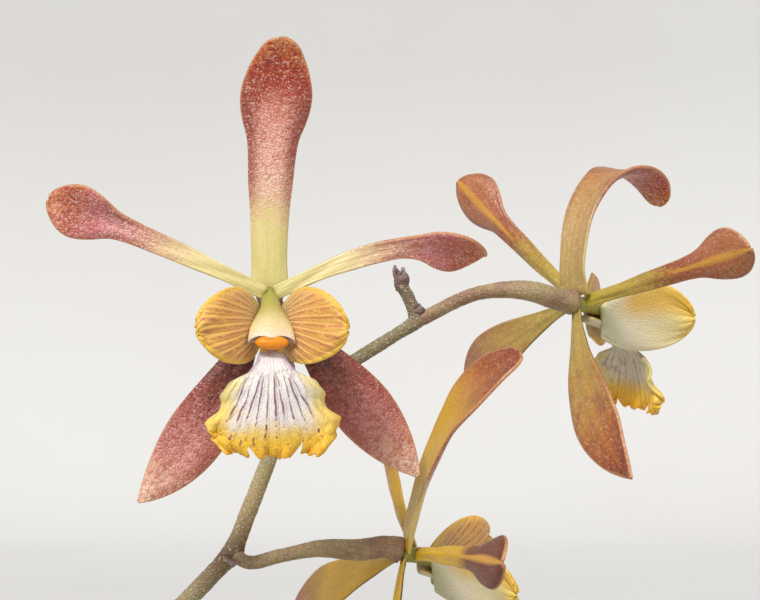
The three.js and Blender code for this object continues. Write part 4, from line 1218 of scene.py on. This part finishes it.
def tepal(name, pose, shape, layer, cups, wave, keel, thickness):
    """One sepal or petal, from the bloom's middle. Its midrib is a groove in front and a keel behind."""
    x, y, _ = compass(pose["heading"]) * TEPAL["seat"]
    pose = {**pose, "from": (x, y, layer), "length": pose["length"] + TEPAL["overlap"]}

    def rise_and_fall(s, t):
        ripple = wave * s * s * np.sin(9 * t + 2 * s) * smooth(0.6, 0.8, t)
        groove = keel * np.exp(-(s / 0.2) ** 2) * smooth(1.0, 0.7, t)
        return ripple - groove + 0.04 * np.sin(23 * t + 4 * s)

    return blade(
        name, pose, outline(shape),
        cup=lambda t: lerp(*cups, smooth(0.55, 0.9, t)) * smooth(0, 0.12, t),
        twist=lambda t: pose.get("twist", 0) * smooth(0.3, 0.85, t),
        wave=rise_and_fall, rows=40, thickness=thickness,
    )


def make_tepals(settings):
    """Three sepals and two petals for each bloom."""
    coats = {name: tepal_material(settings, name, **coat) for name, coat in TEPAL_COATS.items()}
    thickness = settings.tepal_thickness / MM
    for name, bloom in BLOOMS.items():
        parts = [("dorsal_sepal", "dorsal_sepal", DORSAL, SEPAL_LAYER, bloom["dorsal_cups"], 0, 0.06)]
        for side, petal_cup, sepal_cup in zip(("left", "right"), bloom["petal_cups"], bloom["sepal_cups"]):
            cups, wave = (0.7 * petal_cup, 1.7 * petal_cup), bloom["petal_wave"]
            parts.append((f"{side}_petal", "petal", PETAL, PETAL_LAYER, cups, wave, 0.07))
            cups = (sepal_cup, sepal_cup)
            parts.append((f"{side}_sepal", "lateral_sepal", LATERAL, SEPAL_LAYER, cups, 0.12, 0.12))
        for part, coat, shape, layer, cups, wave, keel in parts:
            pose = bloom["dorsal" if part == "dorsal_sepal" else part]
            piece = tepal(f"{name}_{part}_fine", pose, shape, layer, cups, wave, keel, thickness)
            # The lower bloom's left petal is darkened behind: partly its own brown, partly painted shade
            note(piece, ripe=float(name == "lower"), scorched=float((name, part) == ("lower", "left_petal")))
            hand_over(dress(piece, coats[coat]), f"{name}_bloom_{part}", bloom_turn(bloom))


def side_lobe(way, thickness):
    """A side lobe of the lip, flaring beside the column. way is -1 for the left one and 1 for the right."""
    x, y, z = SIDE_LOBE["root"]
    pose = {**SIDE_LOBE, "from": (way * x, y, z), "heading": way * SIDE_LOBE["heading"]}

    def frill(s, t):
        edge = smooth(0.7, 1, np.maximum(np.abs(s), t))
        return 0.16 * np.sin(7 * t + 5 * s) * smooth(0.4, 1, t) + 0.12 * edge * np.sin(21 * s + 9 * t)

    lobe = blade("side_lobe", pose, outline(LOBE), cup=still(-6), wave=frill, thickness=thickness,
                 reach=lambda s: 0.985 - 0.015 * np.cos(13 * s + 1), columns=22, rows=34, crowd=1.25)
    across = np.empty(len(lobe.data.vertices))
    lobe.data.attributes["across"].data.foreach_get("value", across)
    note(lobe, upper=-way * across)
    return lobe


def middle_lobe(bloom, thickness, ruffle):
    """The lip's skirt: a narrow waist, round shoulders and a crisped, toothed margin with two notches."""
    pose = {**bloom["skirt"], "from": MID_LOBE["root"], "heading": 180 - MID_LOBE["lean"], "curl_power": 0.7}

    def half(t):
        return bloom["spread"] * along(MID_HALVES, t) * (1 + 0.02 * np.sin(75 * t) * smooth(0.6, 0.8, t))

    def reach(s):
        teeth = 0.014 * np.cos(31 * s) + 0.012 * np.cos(58 * s + 2)
        notches = (depth * np.exp(-((s - place) / 0.06) ** 2) for place, depth in MID_LOBE["notches"])
        return 0.98 - teeth - sum(notches)

    def frill(s, t):
        corner = smooth(0.45, 1, np.abs(s)) * smooth(0.5, 0.8, t)
        edge = np.maximum(corner, 0.55 * smooth(0.82, 1, t)) * ruffle
        sweep = np.arctan2(1.2 * s, t + 0.15)
        folds = np.sin(11 * sweep + 0.6 + 3 * t) + 0.5 * np.sin(25 * sweep - 12 * t)
        folds = folds + 0.22 * np.sin(55 * sweep + 20 * t)
        ridges = 0.07 * np.cos(12 * math.pi * s) * smooth(0.95, 0.5, t) * smooth(0.95, 0.8, np.abs(s))
        return edge * folds + ridges

    return blade("middle_lobe", pose, half, cup=lambda t: along(MID_CUPS, t), wave=frill, reach=reach,
                 columns=56, rows=52, crowd=1.1, rim=0.4, thickness=thickness)


def make_lips(settings):
    """Lips: a claw, two side lobes and a ruffled middle lobe."""
    side_coat, middle_coat = side_lobe_material(settings), mid_lobe_material(settings)
    for name, bloom in BLOOMS.items():
        claw = blade("claw", LIP_CLAW, still(LIP_CLAW_HALF), cup=still(LIP_CLAW_CUP), columns=8, rows=16,
                     crowd=1, thickness=0.72)
        skirt = middle_lobe(bloom, settings.lip_thickness / MM, settings.ruffle / MM)
        sides = [side_lobe(way, settings.tepal_thickness / MM) for way in (-1, 1)]
        parts = [dress(part, side_coat) for part in (*sides, claw)]
        piece = joined(f"{name}_lip_fine", [*parts, dress(skirt, middle_coat)])
        hand_over(piece, f"{name}_bloom_lip", bloom_turn(bloom, bloom["lip_lean"]))


def column(name):
    """A column: a slim neck that widens into a hood. Past COLUMN_OUTSIDE its rows line the hollow end."""
    piece, turn, row = unit_grid(name, 48, 56)
    angle, t = TURN * turn, np.clip(row / COLUMN_OUTSIDE, 0, 1)
    inside = np.clip((row - COLUMN_OUTSIDE) / (1 - COLUMN_OUTSIDE), 0, 1)
    point, forward, face, side = middle_line(COLUMN_COURSE)(t)
    wings = np.abs(np.sin(angle)) ** 6 * smooth(0.8, 1, t) * smooth(0.4, 0, inside)
    narrowing = lerp(1, 0.12, smooth(0.05, 1, inside))
    width = fair(COLUMN_WIDTHS, t) * narrowing + 0.1 * wings
    depth = fair(COLUMN_DEPTHS, t) * narrowing
    tooth = np.exp(-(np.sin(angle) / 0.24) ** 2) * (np.cos(angle) > 0)
    hood = smooth(0.8, 1, t) * (0.15 * np.clip(np.cos(angle), 0, 1) + 0.6 * wings + 0.3 * tooth)
    step = hood * smooth(1, 0, inside) - 0.9 * smooth(0.1, 1, inside)
    ribs = 1 + 0.02 * np.cos(5 * angle) * smooth(0.2, 0.6, t)
    place = point + side * (width * ribs * np.sin(angle))[:, None] + forward * step[:, None]
    move_corners(piece, place + face * (depth * ribs * np.cos(angle))[:, None])
    note(piece, along=t, hollow=np.maximum(smooth(0.05, 0.5, inside), 0.7 * wings * smooth(0.93, 1, t)))
    mend(piece)
    return piece


def anther_cap(name):
    """The cap that sits in the hood's end, with a cleft between its two humps."""
    cap = added("uv_sphere", name, segments=32, ring_count=20, radius=1)
    ball = corners(cap)
    cleft = np.exp(-(ball[:, 0] / 0.26) ** 2) * smooth(0.1, 0.85, 0.64 * ball[:, 2] - 0.77 * ball[:, 1])
    ball *= (1 - 0.48 * cleft)[:, None]
    point, forward, face, side = middle_line(COLUMN_COURSE)(np.array(1.0))
    half = ANTHER["half_width"], ANTHER["half_height"], ANTHER["half_depth"]
    move_corners(cap, point + forward * 0.74 + face * 0.34 + (ball * half) @ np.stack([side, forward, face]))
    mend(cap, fill=False)
    return cap


def make_columns(settings):
    """Columns with their anther caps."""
    skin, cap_skin = column_material(settings), anther_material(settings)
    for name, bloom in BLOOMS.items():
        turn = bloom_turn(bloom, bloom["lip_lean"])
        hand_over(dress(column(f"{name}_column_fine"), skin), f"{name}_bloom_column", turn)
        hand_over(dress(anther_cap(f"{name}_anther_fine"), cap_skin), f"{name}_bloom_anther", turn)


# The stage, in metres

def make_stage(settings):
    """Round pale cove, soft lights and the camera."""
    reach, bend, height = settings.reach, COVE["bend"], COVE["height"]
    arc = [(reach + bend * math.sin(a), bend - bend * math.cos(a)) for a in np.linspace(0, math.pi / 2, 24)]
    wall, back, under = reach + bend, reach + bend + COVE["thickness"], -COVE["thickness"]
    cove = lathe("cove", [(0, 0), *arc, (wall, height), (back, height), (back, under), (0, under)], 96)
    nodes = Skin("cove_paint", 0.9, 0.1)
    dress(cove, nodes.done(nodes.mix(nodes.blotches(0.8, 0.2, 0.8), settings.floor, "#c9c7c4")))
    pick(cove)
    bpy.ops.object.shade_smooth_by_angle(angle=math.radians(40))

    world = bpy.data.worlds.new("soft_room")
    bpy.context.scene.world = world
    world.use_nodes = True
    background = world.node_tree.nodes["Background"].inputs
    background["Color"].default_value = (1, 1, 1, 1)
    background["Strength"].default_value = settings.room
    for name, (heading, height, softness) in LIGHTS.items():
        heading, height = math.radians(heading), math.radians(height)
        level = math.cos(height)
        towards = Vector((math.sin(heading) * level, -math.cos(heading) * level, math.sin(height)))
        deselect()
        bpy.ops.object.light_add(type="SUN", location=towards * LIGHT_DISTANCE)
        light = bpy.context.object
        light.name, light.data.energy = name, getattr(settings, name)
        light.data.angle = math.radians(softness)
        light.rotation_euler = towards.to_track_quat("Z", "Y").to_euler()

    deselect()
    bpy.ops.object.camera_add(location=CAMERA_AT, rotation=(math.pi / 2, 0, 0))
    camera = bpy.context.object
    camera.data.sensor_width, camera.data.lens = SENSOR_WIDTH_MM, FOCAL_LENGTH_MM
    camera.data.clip_start, camera.data.clip_end = 0.01, 40
    bpy.context.scene.camera = camera
    bpy.context.scene.view_settings.view_transform = "Standard"


# Settings, operators and panel

def colour(name, description, code):
    """A colour setting with this name, description and #rrggbb default."""
    settings = {"name": name, "description": description, "default": paint(code)}
    return FloatVectorProperty(**settings, subtype="COLOR", size=4, min=0, max=1)


def strength(name, description, value):
    """A light's strength setting with this name, description and default."""
    return FloatProperty(name=name, description=description, default=value, min=0)


def length(name, description, millimetres):
    """A length setting with this name, description and default."""
    return FloatProperty(name=name, description=description, default=millimetres * MM, min=0, unit="LENGTH",
                         precision=5)


class PlantSettings(bpy.types.PropertyGroup):
    """Colours and fine sizes of the pot and of the plant's body."""
    clay_relief: length("Clay relief", "Unevenness of the clay wall", 0.5)
    chip_length: length("Chip length", "Length of the longest bark chips", 17)
    root_relief: length("Root relief", "Unevenness of the corky roots", 0.35)
    sheath_thickness: length("Sheath thickness", "Thickness of the papery sheaths", 0.3)
    leaf_thickness: length("Leaf thickness", "Thickness of the leaf blades", 1.1)
    wart_height: length("Wart height", "Height of the warts on the flowering stem", 0.1)
    clay: colour("Clay", "Unglazed clay of the pot", "#a9603f")
    bark: colour("Bark", "Bark chips", "#5a3b26")
    bulb: colour("Pseudobulb", "Skin of the pseudobulbs", "#6f8a3c")
    sheath: colour("Sheath", "Dry sheaths round the pseudobulbs and the stem", "#b49a6c")
    leaf: colour("Leaf", "Middle of the leaf blades", "#4f7a35")
    stem: colour("Stem", "Patches on the flowering stem", "#a8a878")
    pedicel: colour("Pedicel", "Flower stalks and ovaries", "#b09a70")


class BloomSettings(bpy.types.PropertyGroup):
    """Colours and fine sizes of the blooms."""
    tepal_thickness: length("Tepal thickness", "Thickness of sepals, petals and side lobes", 0.6)
    lip_thickness: length("Lip thickness", "Thickness of the middle lobe", 0.5)
    ruffle: length("Ruffle", "Depth of the folds in the middle lobe's margin", 0.66)
    line_spacing: FloatProperty(name="Line spacing", description="Angle between the lines on the middle lobe",
                                default=math.radians(5.8), min=math.radians(2), subtype="ANGLE")
    flush: colour("Flush", "Redder sides of sepals and petals", "#a24634")
    # The colour of the painted highlights on glinting cells
    glint: colour("Glint", "Glinting cells of sepals and petals", "#f2cdbb")
    stripe: colour("Stripe", "Clear midrib behind the petals", "#d39a3a")
    rim: colour("Rim", "Thin edge of sepals and petals", "#d9a066")
    lobe: colour("Side lobe", "Side lobes of the lip", "#e8b25c")
    vein: colour("Vein", "Lines on the side lobes", "#b4654a")
    lip_margin: colour("Lip margin", "Golden margin of the lip", "#f6c43c")
    lip_white: colour("Lip middle", "White middle of the lip", "#ece4dc")
    line: colour("Lip lines", "Purple lines and dots on the lip", "#652450")
    column: colour("Column", "Specks on the column", "#d8b878")
    anther: colour("Anther cap", "Anther cap", "#ea8f04")


class StudioSettings(bpy.types.PropertyGroup):
    """Floor and light of the studio."""
    reach: length("Floor reach", "Distance from the pot to the bend of the cove", 4400)
    floor: colour("Floor", "Floor and wall of the cove", "#cdccca")
    key: strength("Key light", "Strength of the light from the front left", 2.6)
    fill: strength("Fill light", "Strength of the light from the right", 0.35)
    room: strength("Room light", "Strength of the even light of the room", 0.55)


class ORCHID_OT_pot(bpy.types.Operator):
    """Make the clay pot"""
    bl_idname = "orchid.pot"
    bl_label = "Pot"

    def execute(self, context):
        make_pot(context.scene.orchid_plant)
        return {"FINISHED"}


class ORCHID_OT_bark(bpy.types.Operator):
    """Fill the pot with bark chips"""
    bl_idname = "orchid.bark"
    bl_label = "Bark chips"

    def execute(self, context):
        make_bark(context.scene.orchid_plant)
        return {"FINISHED"}


class ORCHID_OT_roots(bpy.types.Operator):
    """Make the rhizome and its roots"""
    bl_idname = "orchid.roots"
    bl_label = "Rhizome and roots"

    def execute(self, context):
        make_roots(context.scene.orchid_plant)
        return {"FINISHED"}


class ORCHID_OT_pseudobulbs(bpy.types.Operator):
    """Make the pseudobulbs and their sheaths"""
    bl_idname = "orchid.pseudobulbs"
    bl_label = "Pseudobulbs"

    def execute(self, context):
        make_pseudobulbs(context.scene.orchid_plant)
        return {"FINISHED"}


class ORCHID_OT_leaves(bpy.types.Operator):
    """Make the strap leaves"""
    bl_idname = "orchid.leaves"
    bl_label = "Leaves"

    def execute(self, context):
        make_leaves(context.scene.orchid_plant)
        return {"FINISHED"}


class ORCHID_OT_stem(bpy.types.Operator):
    """Make the flowering stem with its sheaths and bracts"""
    bl_idname = "orchid.stem"
    bl_label = "Flowering stem"

    def execute(self, context):
        make_stem(context.scene.orchid_plant)
        return {"FINISHED"}


class ORCHID_OT_pedicels(bpy.types.Operator):
    """Make the flower stalks"""
    bl_idname = "orchid.pedicels"
    bl_label = "Pedicels"

    def execute(self, context):
        make_pedicels(context.scene.orchid_plant)
        return {"FINISHED"}


class ORCHID_OT_tepals(bpy.types.Operator):
    """Make the sepals and petals of every bloom"""
    bl_idname = "orchid.tepals"
    bl_label = "Sepals and petals"

    def execute(self, context):
        make_tepals(context.scene.orchid_bloom)
        return {"FINISHED"}


class ORCHID_OT_lips(bpy.types.Operator):
    """Make the lip of every bloom"""
    bl_idname = "orchid.lips"
    bl_label = "Lips"

    def execute(self, context):
        make_lips(context.scene.orchid_bloom)
        return {"FINISHED"}


class ORCHID_OT_columns(bpy.types.Operator):
    """Make the column and the anther cap of every bloom"""
    bl_idname = "orchid.columns"
    bl_label = "Columns and anther caps"

    def execute(self, context):
        make_columns(context.scene.orchid_bloom)
        return {"FINISHED"}


class ORCHID_OT_stage(bpy.types.Operator):
    """Set up the floor, the lights and the camera"""
    bl_idname = "orchid.stage"
    bl_label = "Studio"

    def execute(self, context):
        make_stage(context.scene.orchid_studio)
        return {"FINISHED"}


OPERATORS = [
    ORCHID_OT_pot, ORCHID_OT_bark, ORCHID_OT_roots, ORCHID_OT_pseudobulbs, ORCHID_OT_leaves, ORCHID_OT_stem,
    ORCHID_OT_pedicels, ORCHID_OT_tepals, ORCHID_OT_lips, ORCHID_OT_columns, ORCHID_OT_stage,
]


class ORCHID_PT_panel(bpy.types.Panel):
    """Settings of the potted orchid, and a button for each group of pieces"""
    bl_idname = "ORCHID_PT_panel"
    bl_label = "Potted orchid"
    bl_space_type = "VIEW_3D"
    bl_region_type = "UI"
    bl_category = "Orchid"

    def draw(self, context):
        for settings in (context.scene.orchid_plant, context.scene.orchid_bloom, context.scene.orchid_studio):
            box = self.layout.box()
            for name in settings.__annotations__:
                box.prop(settings, name)
        for operator in OPERATORS:
            self.layout.operator(operator.bl_idname)


SETTINGS = {"orchid_plant": PlantSettings, "orchid_bloom": BloomSettings, "orchid_studio": StudioSettings}


def register():
    for made in (*SETTINGS.values(), *OPERATORS, ORCHID_PT_panel):
        bpy.utils.register_class(made)
    for name, group in SETTINGS.items():
        setattr(bpy.types.Scene, name, PointerProperty(type=group))


def unregister():
    for name in SETTINGS:
        delattr(bpy.types.Scene, name)
    for made in reversed((*SETTINGS.values(), *OPERATORS, ORCHID_PT_panel)):
        bpy.utils.unregister_class(made)


def main():
    register()
    for operator in OPERATORS:
        group, name = operator.bl_idname.split(".")
        getattr(getattr(bpy.ops, group), name)()


if __name__ == "__main__":
    main()
